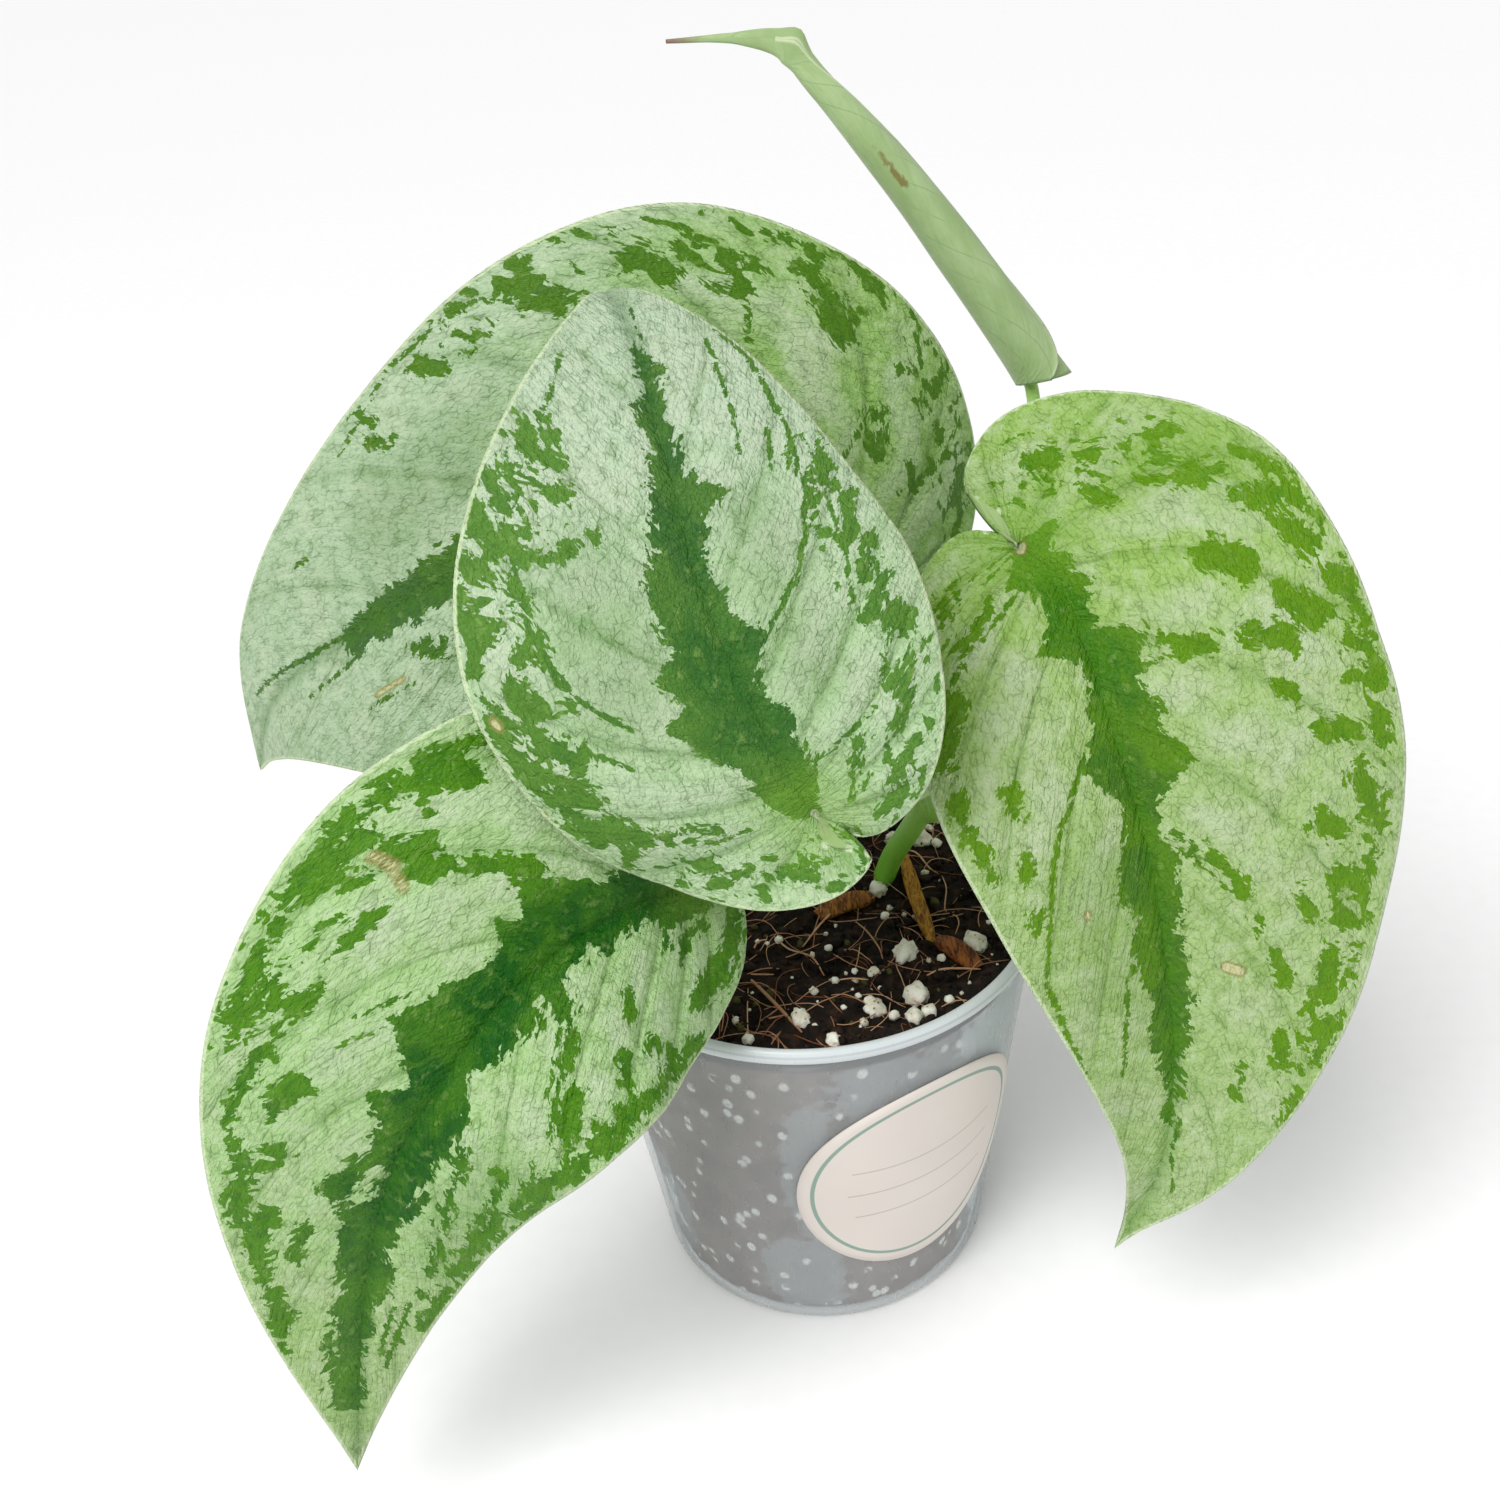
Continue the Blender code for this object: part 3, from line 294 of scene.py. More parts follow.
STROKES = {
    "leaf_front": [
        (1.7, (12, -27), (24, -30.5), (38, -30), (50, -25.5)), (1.8, (9, -21), (13, -26)),
        (1.8, (17, -25), (22, -30)), (2.0, (22, -24), (28, -31)), (1.8, (28, -25), (34, -31)),
        (1.8, (34, -26), (40, -31)), (1.9, (40, -25), (46, -30)), (1.8, (46, -24), (52, -27)),
        (1.5, (50, -22), (56, -24)), (0.9, (28, -21), (38, -23), (48, -22)), (0.8, (46, -20), (55, -20)),
        (1.0, (44, -12), (42.5, -17), (44, -22)), (1.0, (50, -15), (54, -19)), (0.9, (54, -14), (58, -18)),
        (0.9, (57, -18), (62, -16)), (0.45, (52, -14.3), (61, -15.2), (65.4, -12.5), (71, -10.3)),
        (0.9, (0, -15.5), (2, -18.5)), (0.8, (-3, -12), (-3, -18)), (0.9, (5.5, -12), (8, -18.5)),
        (1.2, (-7, -4), (-5, -9)), (1.0, (-4, 8), (-2, 13)), (1.1, (0, 12), (3, 17)), (0.9, (4, 8), (8, 12)),
        (1.1, (6, 15), (9, 19)), (2.0, (11, 18), (20, 22)), (1.6, (22, 19), (27, 23)),
        (1.3, (28, 21), (34, 23)), (1.2, (36, 21), (42, 22.5)), (1.1, (44, 20), (50, 20)),
        (0.9, (42, 17), (47, 18.5)), (0.4, (51, 9.5), (57, 10), (70, 9.5)), (0.5, (48, 13.1), (54, 14)),
        (0.45, (7.5, 4), (8.5, 9.5), (9.8, 14)), (0.3, (72, 1.2), (79, 1.3)), (0.55, (25, 5), (28.6, 8.7),
        (32, 12.3), (36.7, 14.6), (44.8, 16.8), (55, 16.7), (65.5, 14.6), (72, 11.5)),
        (0.5, (21, 21.7), (29, 22.6), (37, 22.1), (45, 21.2)),
        (0.5, (25, 17.6), (33, 19.4), (48, 19.4), (53, 18.5)), (0.4, (17.7, -17.5), (22, -22)),
        (0.45, (22, -15.2), (26, -18.8), (29.4, -21)), (0.4, (3, -8.5), (3.5, -13), (6, -17))],
    "leaf_left": [
        (1.3, (12, -21.5), (30, -23.5), (50, -21.5), (70, -16.5), (86, -12.5)),
        (1.1, (26, 30.5), (40, 31.5), (56, 28.5)), (0.8, (66, 24), (84, 17.5), (100, 11)),
        (2.0, (-5, -8), (-1, -12)), (2.6, (2, -14), (10, -16)), (1.5, (9, -8), (11, -11)),
        (0.8, (3, -7), (7, -7)), (1.0, (11.5, -5), (12.5, -7)), (1.0, (24, -10), (26, -13)),
        (1.5, (21, -21), (23, -24)), (1.0, (24.5, -17.5), (27.5, -18.5)), (1.5, (31, -17), (34, -19)),
        (1.6, (36, -23), (44, -24)), (1.8, (42, -15.5), (50, -18.5)), (1.5, (51, -21.5), (54, -22.5)),
        (1.5, (61, -20), (69, -20), (77, -18)), (1.1, (61, -14), (69, -15)), (0.9, (71, -14), (77, -13.5)),
        (1.6, (91, -12), (99, -10)), (0.6, (95, -7), (110, -4)), (0.5, (97, -4.5), (108, -3)),
        (0.7, (60, -8), (75, -9.5), (88, -9)), (0.9, (33, -6), (36, -10), (45, -14), (52, -20)),
        (1.2, (27, 12), (33, 19), (36, 22)), (1.8, (27, 27), (29, 32)), (1.8, (34, 23), (37, 25)),
        (1.8, (37, 29), (43, 30.5)), (1.1, (40.5, 20.5), (44.5, 21.5)), (1.3, (50.5, 21), (52.5, 22.5)),
        (1.3, (51, 26), (55, 27)), (1.1, (33, 30), (35, 32)), (1.2, (46, 30), (50, 30)),
        (1.1, (54, 29), (58, 28)), (1.8, (61, 16.5), (65, 18.5)), (1.4, (59, 23), (65, 23.5)),
        (1.2, (70.5, 14), (72.5, 17)), (1.7, (74, 20), (83, 19)), (1.9, (81, 15), (86, 16)),
        (1.3, (83, 10), (89, 11)), (1.0, (93.5, 14), (96.5, 13.5)), (1.0, (99, 12), (107, 11.5)),
        (0.4, (48, 10), (54, 15)), (0.4, (45, 11), (50, 15)), (1.2, (99, 2), (106, 2.5), (112, 1.5)),
        (1.0, (104, 4.5), (110, 4), (116, 3)), (0.8, (101, -0.5), (108, -1))],
    "leaf_right": [
        (0.75, (8, -33), (20, -38), (34, -39), (50, -36), (70, -28.5), (86, -22.5)),
        (1.4, (3, 15), (6, 16.5)), (1.7, (9, 11.5), (12, 16.5)), (1.1, (16, 18.5), (18, 20.5)),
        (2.2, (21, 21.5), (28, 25.5)), (1.1, (45, 19), (49, 19)), (1.0, (54.5, 19), (56.5, 19)),
        (1.4, (34, 25.5), (39, 25.5)), (1.1, (41, 25), (47, 24.5)), (1.0, (35.5, 18), (39.5, 18.5)),
        (0.6, (34.4, 5.8), (39, 9.4), (43.4, 13), (49, 15.7), (55, 17.3)),
        (0.5, (70, 7.1), (79, 8), (88, 8.5)),
        (0.55, (55, 17.3), (61.4, 18.5), (67, 19.5), (72, 18.2), (79.4, 16.6), (87.5, 14)),
        (0.45, (98, -1.5), (105, -1), (113, -3.2)), (0.4, (52, -4), (56, -8), (60.5, -10.9)),
        (1.4, (-4.5, -16), (-3, -18)), (1.8, (-8.5, -9.5), (-7.5, -12.5)), (1.0, (-6, -9), (-3, -9)),
        (1.3, (1, -13), (4, -14)), (1.1, (2.5, -23), (3.5, -24.5)), (0.9, (4.5, -19.5), (5.5, -20.5)),
        (1.4, (6.8, -23), (8.5, -28)), (1.4, (12, -28), (13.5, -34)), (1.4, (16.5, -32), (18.5, -35)),
        (1.8, (16, -20.5), (18, -24.5)), (1.5, (22, -36), (24.5, -38)), (2.0, (23.5, -28.5), (26, -32.5)),
        (1.7, (26, -22.5), (28, -27.5)), (1.4, (31, -36), (32.5, -39)), (1.3, (35.8, -35), (37.5, -38)),
        (1.6, (41.5, -37), (45, -36.5)), (1.7, (41, -28.5), (43, -32.5)),
        (1.0, (33.5, -24.5), (35.5, -25.5)), (2.0, (48.5, -32), (53, -33)),
        (1.1, (57.5, -34), (59.5, -33.5)), (1.6, (53, -24.5), (55.5, -27.5)),
        (2.3, (62.5, -27.5), (68, -27)), (1.2, (62.8, -21), (65.5, -22)), (1.3, (71, -16), (75, -17)),
        (2.1, (73.5, -24), (77, -22.5)), (1.9, (82.5, -23), (87, -21.5)), (1.3, (84, -16.5), (88, -16)),
        (1.4, (93, -18.5), (96, -17.5)), (0.8, (64, -14), (67, -14)), (0.8, (88, -10), (93, -10)),
        (1.6, (21, -6), (24, -12), (25.5, -16)), (1.0, (50, -4), (56, -10), (60, -12)),
        (0.45, (0, 1), (1.5, 6)), (0.45, (1, 1), (4, 8.5)), (0.5, (7, 3), (10, 9), (13, 14)),
        (0.45, (0, 1), (-2, 4))],
    "leaf_back": [
        (1.2, (74, -9), (78, -8)), (0.4, (80, -12), (92, -12)), (0.4, (87, -3.7), (95, -4.6), (103, -4.7)),
        (0.5, (91, 0.3), (99, 0.8), (109, 2.3), (118, 3.8)), (1.2, (-11, 25), (-9.5, 29)),
        (1.3, (-1, 22), (1, 24.5)), (2.0, (8.5, 24), (10.5, 28.5)), (0.9, (1, 34), (4, 35.5)),
        (1.8, (19, 37), (21, 42)), (1.1, (22.5, 43), (24.5, 45)), (2.3, (31.5, 39), (34.5, 43.5)),
        (1.8, (38, 39.5), (41, 42)), (0.6, (1, 39), (3, 43)), (0.6, (6, 39), (9, 44)),
        (0.8, (16, 47), (20, 49)), (0.8, (23, 47.5), (29, 49)), (0.6, (35.5, 46.5), (39.5, 47.5)),
        (2.0, (47.5, 35.5), (50.5, 38.5)), (0.55, (45, 33), (55, 38), (68, 34), (80, 25)),
        (1.4, (60, 30), (63.5, 32.5)), (1.0, (70.5, 23), (73.5, 24.5)), (0.8, (72.5, 27.5), (74.5, 29.5)),
        (0.8, (50, 41), (53, 44)), (0.7, (54, 42), (56, 44.5)), (0.5, (92, 14), (95, 14)),
        (1.2, (10, -20), (14, -26)), (1.1, (22, -30), (27, -36)), (1.3, (40, -34), (46, -38)),
        (1.0, (55, -30), (61, -33)), (0.9, (66, -24), (71, -27)), (0.5, (2, 20), (-4, 28), (-5, 36)),
        (0.5, (14, 18), (12, 30)), (0.45, (28, 26), (30, 38))],
}
# More strokes: zones with loose specks of green, broad darker, greener strokes of painted shade on the
# silver, silver holes in the marks, and dry scars.
MOTTLES = {
    "leaf_front": [(5.0, (-7, -4), (-4, -14), (4, -22)), (3.5, (50, -16), (62, -18)),
                   (4.5, (-4, 8), (4, 16), (12, 21)), (3.0, (26, 20), (50, 19))],
    "leaf_left": [(4.0, (-5, -9), (0, -15)), (4.5, (30, 29), (58, 27)), (3.0, (35, -24), (60, -19)),
                  (3.5, (78, -16), (104, -8)), (2.5, (100, 2), (114, 3))],
    "leaf_right": [(5.0, (-8, -8), (-4, -16), (2, -24)), (3.5, (2, 12), (12, 18)),
                   (3.5, (8, -31), (24, -38), (40, -37)), (3.0, (60, -31), (90, -19))],
    "leaf_back": [(5.0, (-12, 24), (-2, 36), (12, 43), (30, 47)), (4.0, (45, 42), (60, 34)),
                  (5.0, (-4, -24), (10, -34), (30, -38), (60, -30))],
}
PAINTED_SHADE_STROKES = {
    "leaf_front": [(6.0, (28, -15), (40, -14)), (4.5, (20, 9), (42, 9))],
    "leaf_left": [(5.0, (60, -15), (84, -12))],
    "leaf_right": [(6.0, (52, 10), (70, 8)), (5.0, (2, -20), (8, -30))],
    "leaf_back": [(6.0, (20, 14), (40, 16)), (6.0, (60, 18), (76, 12))],
}
HOLES = {
    "leaf_front": [(1.2, (14.6, 19.6), (15.8, 20.6)), (0.8, (19, -27), (20.5, -28.5)),
                   (1.4, (32, -30), (35.5, -26)), (1.0, (40, -25.5), (42.5, -29)),
                   (0.8, (26, -29), (27, -30.5)), (0.9, (46, -26), (47.5, -28.5))],
    "leaf_left": [(1.0, (71, 2.5), (76, 3)), (0.9, (35, -4.6), (37, -6)), (0.8, (50, -17), (51, -18))],
    "leaf_right": [(0.8, (23.5, -8), (24.2, -10.5)), (0.9, (64, -27.5), (65.4, -28.6))],
    "leaf_back": [(0.9, (32.5, 41), (33.5, 42.5)), (0.7, (9.4, 26), (9.8, 27))],
}
SCARS = {
    "leaf_front": [(0.55, (28, -31), (28.6, -31.4)), (0.5, (17, -31.5), (17.4, -31.8))],
    "leaf_left": [(0.55, (36.6, 23.5), (37.4, 26.5)), (0.5, (37.4, 20.5), (36.8, 24))],
    "leaf_right": [(0.6, (57, 12), (57.4, 12)), (0.8, (71.5, -8.5), (72.6, -10.5)),
                   (0.7, (0.6, -0.6), (1.2, 0.4))],
    "leaf_back": [(0.4, (82, -10.5), (88, -10.8))],
}


def srgb(red, green, blue):
    """A linear colour from the 0 to 255 values that a screen shows."""
    shares = [value / 255 for value in (red, green, blue)]
    linear = [c / 12.92 if c <= 0.04045 else ((c + 0.055) / 1.055) ** 2.4 for c in shares]
    return (*linear, 1.0)


# Each blade's silver and deep green, both at the base and beyond it, where the first gives way
# to the second along the midrib, and the bright green of the marks by the margin.
TINTS = {
    "leaf_front": dict(silver=(srgb(181, 212, 161), srgb(193, 215, 183)), change=(15, 60),
                       deep=(srgb(50, 106, 34), srgb(56, 98, 44)), bright=srgb(90, 138, 48)),
    "leaf_left": dict(silver=(srgb(173, 210, 142), srgb(170, 203, 130)), change=(60, 115),
                      deep=(srgb(10, 88, 0), srgb(74, 123, 38)), bright=srgb(80, 136, 14)),
    "leaf_right": dict(silver=(srgb(156, 193, 99), srgb(168, 198, 126)), change=(0, 40),
                       deep=(srgb(58, 122, 0), srgb(66, 114, 24)), bright=srgb(98, 146, 8)),
    "leaf_back": dict(silver=(srgb(147, 188, 100), srgb(177, 203, 165)), change=(18, 62),
                      deep=(srgb(60, 112, 16), srgb(58, 102, 42)), bright=srgb(76, 122, 16)),
}

# The other colours of the plant, the mix, the cup and the label, as the 0 to 255 values that a
# screen shows.
SHADES = {name: srgb(*values) for name, values in dict(
    silver_cloud=(200, 210, 180), crinkle_painted_light=(204, 216, 188), painted_light_on_swells=(206, 218, 192),
    fresh_green=(150, 186, 96), stalk_end=(126, 176, 48), scar_ring=(150, 144, 80),
    scar_heart=(208, 208, 156), margin=(212, 230, 186), light_through_leaf=(176, 208, 90),
    under_dark=(150, 184, 116), under_pale=(168, 198, 138), under_rib=(170, 194, 124),
    under_margin=(204, 222, 174), milk_dark=(202, 206, 208), milk_pale=(218, 221, 222),
    rim_milk=(218, 224, 226), lip_shade=(150, 158, 164), clear_plastic=(248, 250, 250),
    paper_dark=(216, 206, 199), paper_pale=(226, 218, 210), ring_green=(118, 152, 138),
    line_grey=(150, 150, 146), crumb_black=(9, 7, 6), crumb_brown=(38, 27, 20), clod=(62, 42, 28),
    peat_fibre=(112, 66, 38), moss=(92, 92, 44), pressed_dark=(96, 76, 64), pressed_pale=(136, 118, 106),
    gap_edge_painted_light=(164, 172, 174), gap_painted_light=(224, 230, 232), fleck_white=(252, 250, 244),
    perlite_white=(252, 250, 240), perlite_cream=(226, 216, 192), perlite_tan=(198, 182, 146),
    pit=(92, 78, 58), bark_light=(150, 84, 44), wood_light=(196, 142, 44), bark_dark=(60, 30, 16),
    wood_dark=(112, 70, 18), root_dark=(112, 60, 34), root_pale=(222, 180, 142), root_rust=(176, 100, 52),
    stalk_olive=(136, 182, 76), stalk_pale=(160, 198, 110), stalk_cloud=(170, 202, 130),
    stalk_foot=(128, 200, 52), stalk_fleck=(176, 200, 144), roll_dark=(158, 184, 126),
    roll_pale=(174, 198, 144), roll_streak=(138, 176, 98), roll_vein=(112, 150, 92),
    roll_edge=(214, 228, 186), roll_scar=(128, 112, 56), roll_scar_heart=(96, 72, 40),
    roll_tip=(142, 112, 100), light_through_roll=(190, 215, 110)).items()}


class Nodes:
    """A short way to write a material: each call adds one node and gives back its output."""

    def __init__(self, name, dimensions="3D"):
        self.dimensions = dimensions
        self.material = bpy.data.materials.new(name)
        self.material.use_nodes = True
        self.tree = self.material.node_tree
        self.tree.nodes.clear()

    def add(self, kind, inputs, output=0, **settings):
        node = self.tree.nodes.new("ShaderNode" + kind)
        for key, value in settings.items():
            setattr(node, key, value)
        for key, value in inputs.items():
            if isinstance(value, bpy.types.NodeSocket):
                self.tree.links.new(value, node.inputs[key])
            else:
                node.inputs[key].default_value = value
        return node.outputs[output]

    def attribute(self, name, output="Fac"):
        return self.add("Attribute", {}, output, attribute_name=name)

    def place(self):
        return self.add("TexCoord", {}, "Object")

    def math(self, operation, *values):
        return self.add("Math", dict(enumerate(values)), operation=operation)

    def times(self, first, second):
        return self.math("MULTIPLY", first, second)

    def scaled(self, vector, sizes):
        """Coordinates in which a pattern cell has these sizes: one for all axes, or two or three."""
        sizes = [sizes] * 3 if isinstance(sizes, float) else [*sizes, 1][:3]
        return self.add("VectorMath", {0: vector, 1: [1 / size for size in sizes]}, operation="MULTIPLY")

    def split(self, vector, axis):
        return self.add("SeparateXYZ", {"Vector": vector}, axis)

    def noise(self, vector, sizes, detail=2.0, roughness=0.5, distortion=0.0, output=0):
        inputs = {"Vector": self.scaled(vector, sizes), "Scale": 1.0, "Detail": detail,
                  "Roughness": roughness, "Distortion": distortion}
        return self.add("TexNoise", inputs, output, noise_dimensions=self.dimensions)

    def cells(self, vector, sizes, output="Distance", **settings):
        inputs = {"Vector": self.scaled(vector, sizes), "Scale": 1.0}
        return self.add("TexVoronoi", inputs, output, voronoi_dimensions=self.dimensions, **settings)

    def shaken(self, vector, sizes, reach):
        """Coordinates pushed about by a noise, as far as the reach."""
        push = self.noise(vector, sizes, 1.0, output="Color")
        return self.add("VectorMath", {0: push, 1: (reach, reach, 0), 2: vector}, operation="MULTIPLY_ADD")

    def spread(self, value, size):
        """A 0 to 1 value moved to lie evenly round zero, size wide."""
        return self.math("MULTIPLY_ADD", value, size, -size / 2)

    def step(self, value, low, high, start=0.0, end=1.0):
        inputs = {"Value": value, "From Min": low, "From Max": high, "To Min": start, "To Max": end}
        return self.add("MapRange", inputs, interpolation_type="SMOOTHSTEP")

    def mix(self, factor, first, second, blend="MIX"):
        node = self.tree.nodes.new("ShaderNodeMix")
        node.data_type, node.blend_type = "RGBA", blend
        for socket, value in ((0, factor), (6, first), (7, second)):
            if isinstance(value, bpy.types.NodeSocket):
                self.tree.links.new(value, node.inputs[socket])
            else:
                node.inputs[socket].default_value = value
        return node.outputs[2]

    def paint(self, colour, tint, value, low, high, most=1.0):
        """A tint laid over a colour, from none where the value is low to the most where it is high."""
        return self.mix(self.step(value, low, high, 0.0, most), colour, tint)

    def bump(self, height, distance, strength=1.0, normal=None):
        inputs = {"Height": height, "Distance": distance * MM, "Strength": strength}
        if normal:
            inputs["Normal"] = normal
        return self.add("Bump", inputs)

    def surface(self, colour, roughness, normal=None, **more):
        inputs = {"Base Color": colour, "Roughness": roughness}
        if normal:
            inputs["Normal"] = normal
        inputs.update({key.replace("_", " "): value for key, value in more.items()})
        return self.add("BsdfPrincipled", inputs)

    def blend(self, factor, first, second):
        return self.add("MixShader", {0: factor, 1: first, 2: second})

    def lit_through(self, face, colour, tint, share):
        """A thin living skin: part of the light comes through it, tinted."""
        through_it = self.add("BsdfTranslucent", {"Color": self.mix(0.5, colour, tint)})
        return self.done(self.blend(share, face, through_it))

    def done(self, shader):
        end = self.tree.nodes.new("ShaderNodeOutputMaterial")
        self.tree.links.new(shader, end.inputs["Surface"])
        return self.material


def mesh_piece(name, points, faces, materials, which=None, smooth=True):
    """A piece from points in millimetres. The list called which gives each face's material."""
    mesh = bpy.data.meshes.new(name)
    mesh.from_pydata((np.asarray(points, float) * MM).tolist(), [], [list(map(int, face)) for face in faces])
    for made in materials:
        mesh.materials.append(made)
    if which is not None:
        mesh.polygons.foreach_set("material_index", np.asarray(which, np.int32))
    mesh.polygons.foreach_set("use_smooth", [smooth] * len(mesh.polygons))
    if len(faces) > 1:
        shell = bmesh.new()
        shell.from_mesh(mesh)
        bmesh.ops.recalc_face_normals(shell, faces=shell.faces)
        shell.to_mesh(mesh)
        shell.free()
    obj = bpy.data.objects.new(name, mesh)
    bpy.context.scene.collection.objects.link(obj)
    return obj


def keep(obj, name, values):
    """Stores a number or a vector at each point, for the material to read."""
    values = np.asarray(values, np.float32)
    kind, field = ("FLOAT_VECTOR", "vector") if values.ndim == 2 else ("FLOAT", "value")
    obj.data.attributes.new(name, kind, "POINT").data.foreach_set(field, values.ravel())


def apply_modifiers(obj):
    bpy.context.view_layer.update()
    graph = bpy.context.evaluated_depsgraph_get()
    obj.data = bpy.data.meshes.new_from_object(obj.evaluated_get(graph))
    obj.modifiers.clear()


def circle(sides):
    """The angles of evenly spaced points round a circle, in radians."""
    return [2 * math.pi * k / sides for k in range(sides)]


def capped_tube(rings, sides):
    """The faces of a tube whose points are listed ring by ring, with a flat face on both ends."""
    faces = []
    for start in range(0, (rings - 1) * sides, sides):
        for k in range(sides):
            n = (k + 1) % sides
            faces.append((start + k, start + n, start + sides + n, start + sides + k))
    return faces + [tuple(reversed(range(sides))), tuple((rings - 1) * sides + k for k in range(sides))]


def stands_for(obj, node):
    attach(obj, BODY)
    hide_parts(node)


def mix(low, high, start, end, t):
    """The point at t on the straight run from low at start to high at end."""
    return ((end - t) * low + (t - start) * high) / (end - start)


def smooth_path(points, shares):
    """Points at the given shares of the length of a centripetal Catmull-Rom curve through the points."""
    p = np.asarray(points, float)
    p = np.vstack([2 * p[0] - p[1], p, 2 * p[-1] - p[-2]])
    runs = []
    for i in range(len(p) - 3):
        four = p[i:i + 4]
        knots = np.r_[0, np.cumsum(np.sqrt(np.linalg.norm(np.diff(four, axis=0), axis=1)))]
        t = np.linspace(knots[1], knots[2], 40)[:, None]
        line = [mix(four[j], four[j + 1], knots[j], knots[j + 1], t) for j in range(3)]
        bow = [mix(line[j], line[j + 1], knots[j], knots[j + 2], t) for j in range(2)]
        runs.append(mix(bow[0], bow[1], knots[1], knots[2], t))
    curve = np.concatenate(runs)
    along = np.r_[0, np.cumsum(np.linalg.norm(np.diff(curve, axis=0), axis=1))]
    wanted = np.asarray(shares) * along[-1]
    return np.stack([np.interp(wanted, along, curve[:, k]) for k in range(p.shape[1])], 1), along[-1]


def through(values, share):
    """A parabola through values at the base, the middle and the tip."""
    return (values[0] * (1 - share) * (1 - 2 * share) + 4 * values[1] * share * (1 - share)
            + values[2] * share * (2 * share - 1))


def half_margin(length, width, cut):
    """One half's margin laid flat, from the notch at the stalk round the lobe to the tip."""
    back, corner, widest = cut["back"], cut["corner"], cut["widest"]
    line = [(0, 0), (-0.36 * back, 0.03), (-0.76 * back, cut["inner"] + 0.25 * (corner - cut["inner"]))]
    for a in np.radians([0, 22.5, 45, 67.5]):
        line.append((widest - (widest + back) * math.cos(a), corner + (1 - corner) * math.sin(a)))
    for share in (0, 0.2, 0.4, 0.57, 0.72, 0.84, 0.92):
        line.append((widest + (1 - widest) * share, (1 - share ** cut["rise"]) ** cut["fall"]))
    return np.array([*line, (1, 0)]) * [length, width]


def blade_frames(blade):
    """Length, stations, points, face directions and headings along the midrib."""
    points, length = smooth_path(blade["midrib"], np.linspace(0, 1, STATIONS))
    along = np.linspace(0, length, STATIONS)
    station = np.arange(STATIONS)
    before, beyond = np.maximum(station - HEADING_REACH, 0), np.minimum(station + HEADING_REACH, STATIONS - 1)
    heading = points[beyond] - points[before]
    heading /= np.linalg.norm(heading, axis=1)[:, None]
    wanted = np.array(blade["face"], float)
    face = through(wanted[:, None, :], (along / length)[:, None])
    face -= (face * heading).sum(1)[:, None] * heading
    face /= np.linalg.norm(face, axis=1)[:, None]
    return length, along, points, face, heading


def bend(blade, frames, x, y, half):
    """Takes flat points, x along the midrib and y out from it, to their place in the air."""
    length, along, points, face, heading = frames
    at = np.clip(x, 0, length)
    origin, up, ahead = (np.stack([np.interp(at, along, row[:, k]) for k in range(3)], -1)
                         for row in (points, face, heading))
    side = np.cross(ahead, up)
    share, width, reach = np.clip(x / length, 0, 1), blade["width"][half], np.abs(y)
    fold = np.radians(through(blade["fold"][half], share))
    arch = np.radians(through(blade["arch"][half], share))
    angles = fold[..., None] - arch[..., None] * (reach[..., None] * (np.arange(16) + 0.5) / 16 / width)
    across, rise = np.cos(angles).mean(-1) * y, np.sin(angles).mean(-1) * reach
    behind = -np.minimum(x, 0)
    turn = np.radians(blade["turn"][half]) * behind / (0.15 * length) + 1e-9
    back, lift = np.sin(turn) / turn * behind, (1 - np.cos(turn)) / turn * behind
    size, waves, start = blade["wave"][half]
    ripple = size * np.sin(2 * np.pi * (waves * x / length + start))
    lift = lift + rise + ripple * np.clip(reach / width, 0, 1.2) ** 2
    return (origin - ahead * back[..., None] + up * lift[..., None]
            + side * ((1 if half else -1) * across)[..., None])


def sheet_index():
    """The number of the point at each half, row and column. The halves share the midrib."""
    index = np.zeros((2, VEIN_ROWS, VEIN_COLUMNS), int)
    index[:, :, 0] = np.arange(VEIN_ROWS)
    count, inner = VEIN_ROWS, (VEIN_ROWS - 2) * (VEIN_COLUMNS - 1)
    for half in (0, 1):
        index[half, 1:-1, 1:] = count + np.arange(inner).reshape(VEIN_ROWS - 2, VEIN_COLUMNS - 1)
        index[half, 0], index[half, -1] = 0, VEIN_ROWS - 1
        count += inner
    return index, count


def sheet_faces(index):
    faces = []
    for half in (0, 1):
        for row in range(VEIN_ROWS - 1):
            for column in range(VEIN_COLUMNS - 1):
                corners = [index[half, row, column], index[half, row, column + 1],
                           index[half, row + 1, column + 1], index[half, row + 1, column]]
                corners = list(dict.fromkeys(corners))
                if len(corners) > 2:
                    faces.append(corners if half else corners[::-1])
    return faces


def stroke_field(x, y, strokes):
    """How many millimetres a place lies inside the nearest stroke, below zero outside them all."""
    field = np.full(x.shape, -9.0)
    for width, *points in strokes:
        for (x0, y0), (x1, y1) in zip(points, points[1:]):
            run_x, run_y = x1 - x0, y1 - y0
            share = np.clip(((x - x0) * run_x + (y - y0) * run_y) / (run_x ** 2 + run_y ** 2), 0, 1)
            field = np.maximum(field, width - np.hypot(x - x0 - share * run_x, y - y0 - share * run_y))
    return field


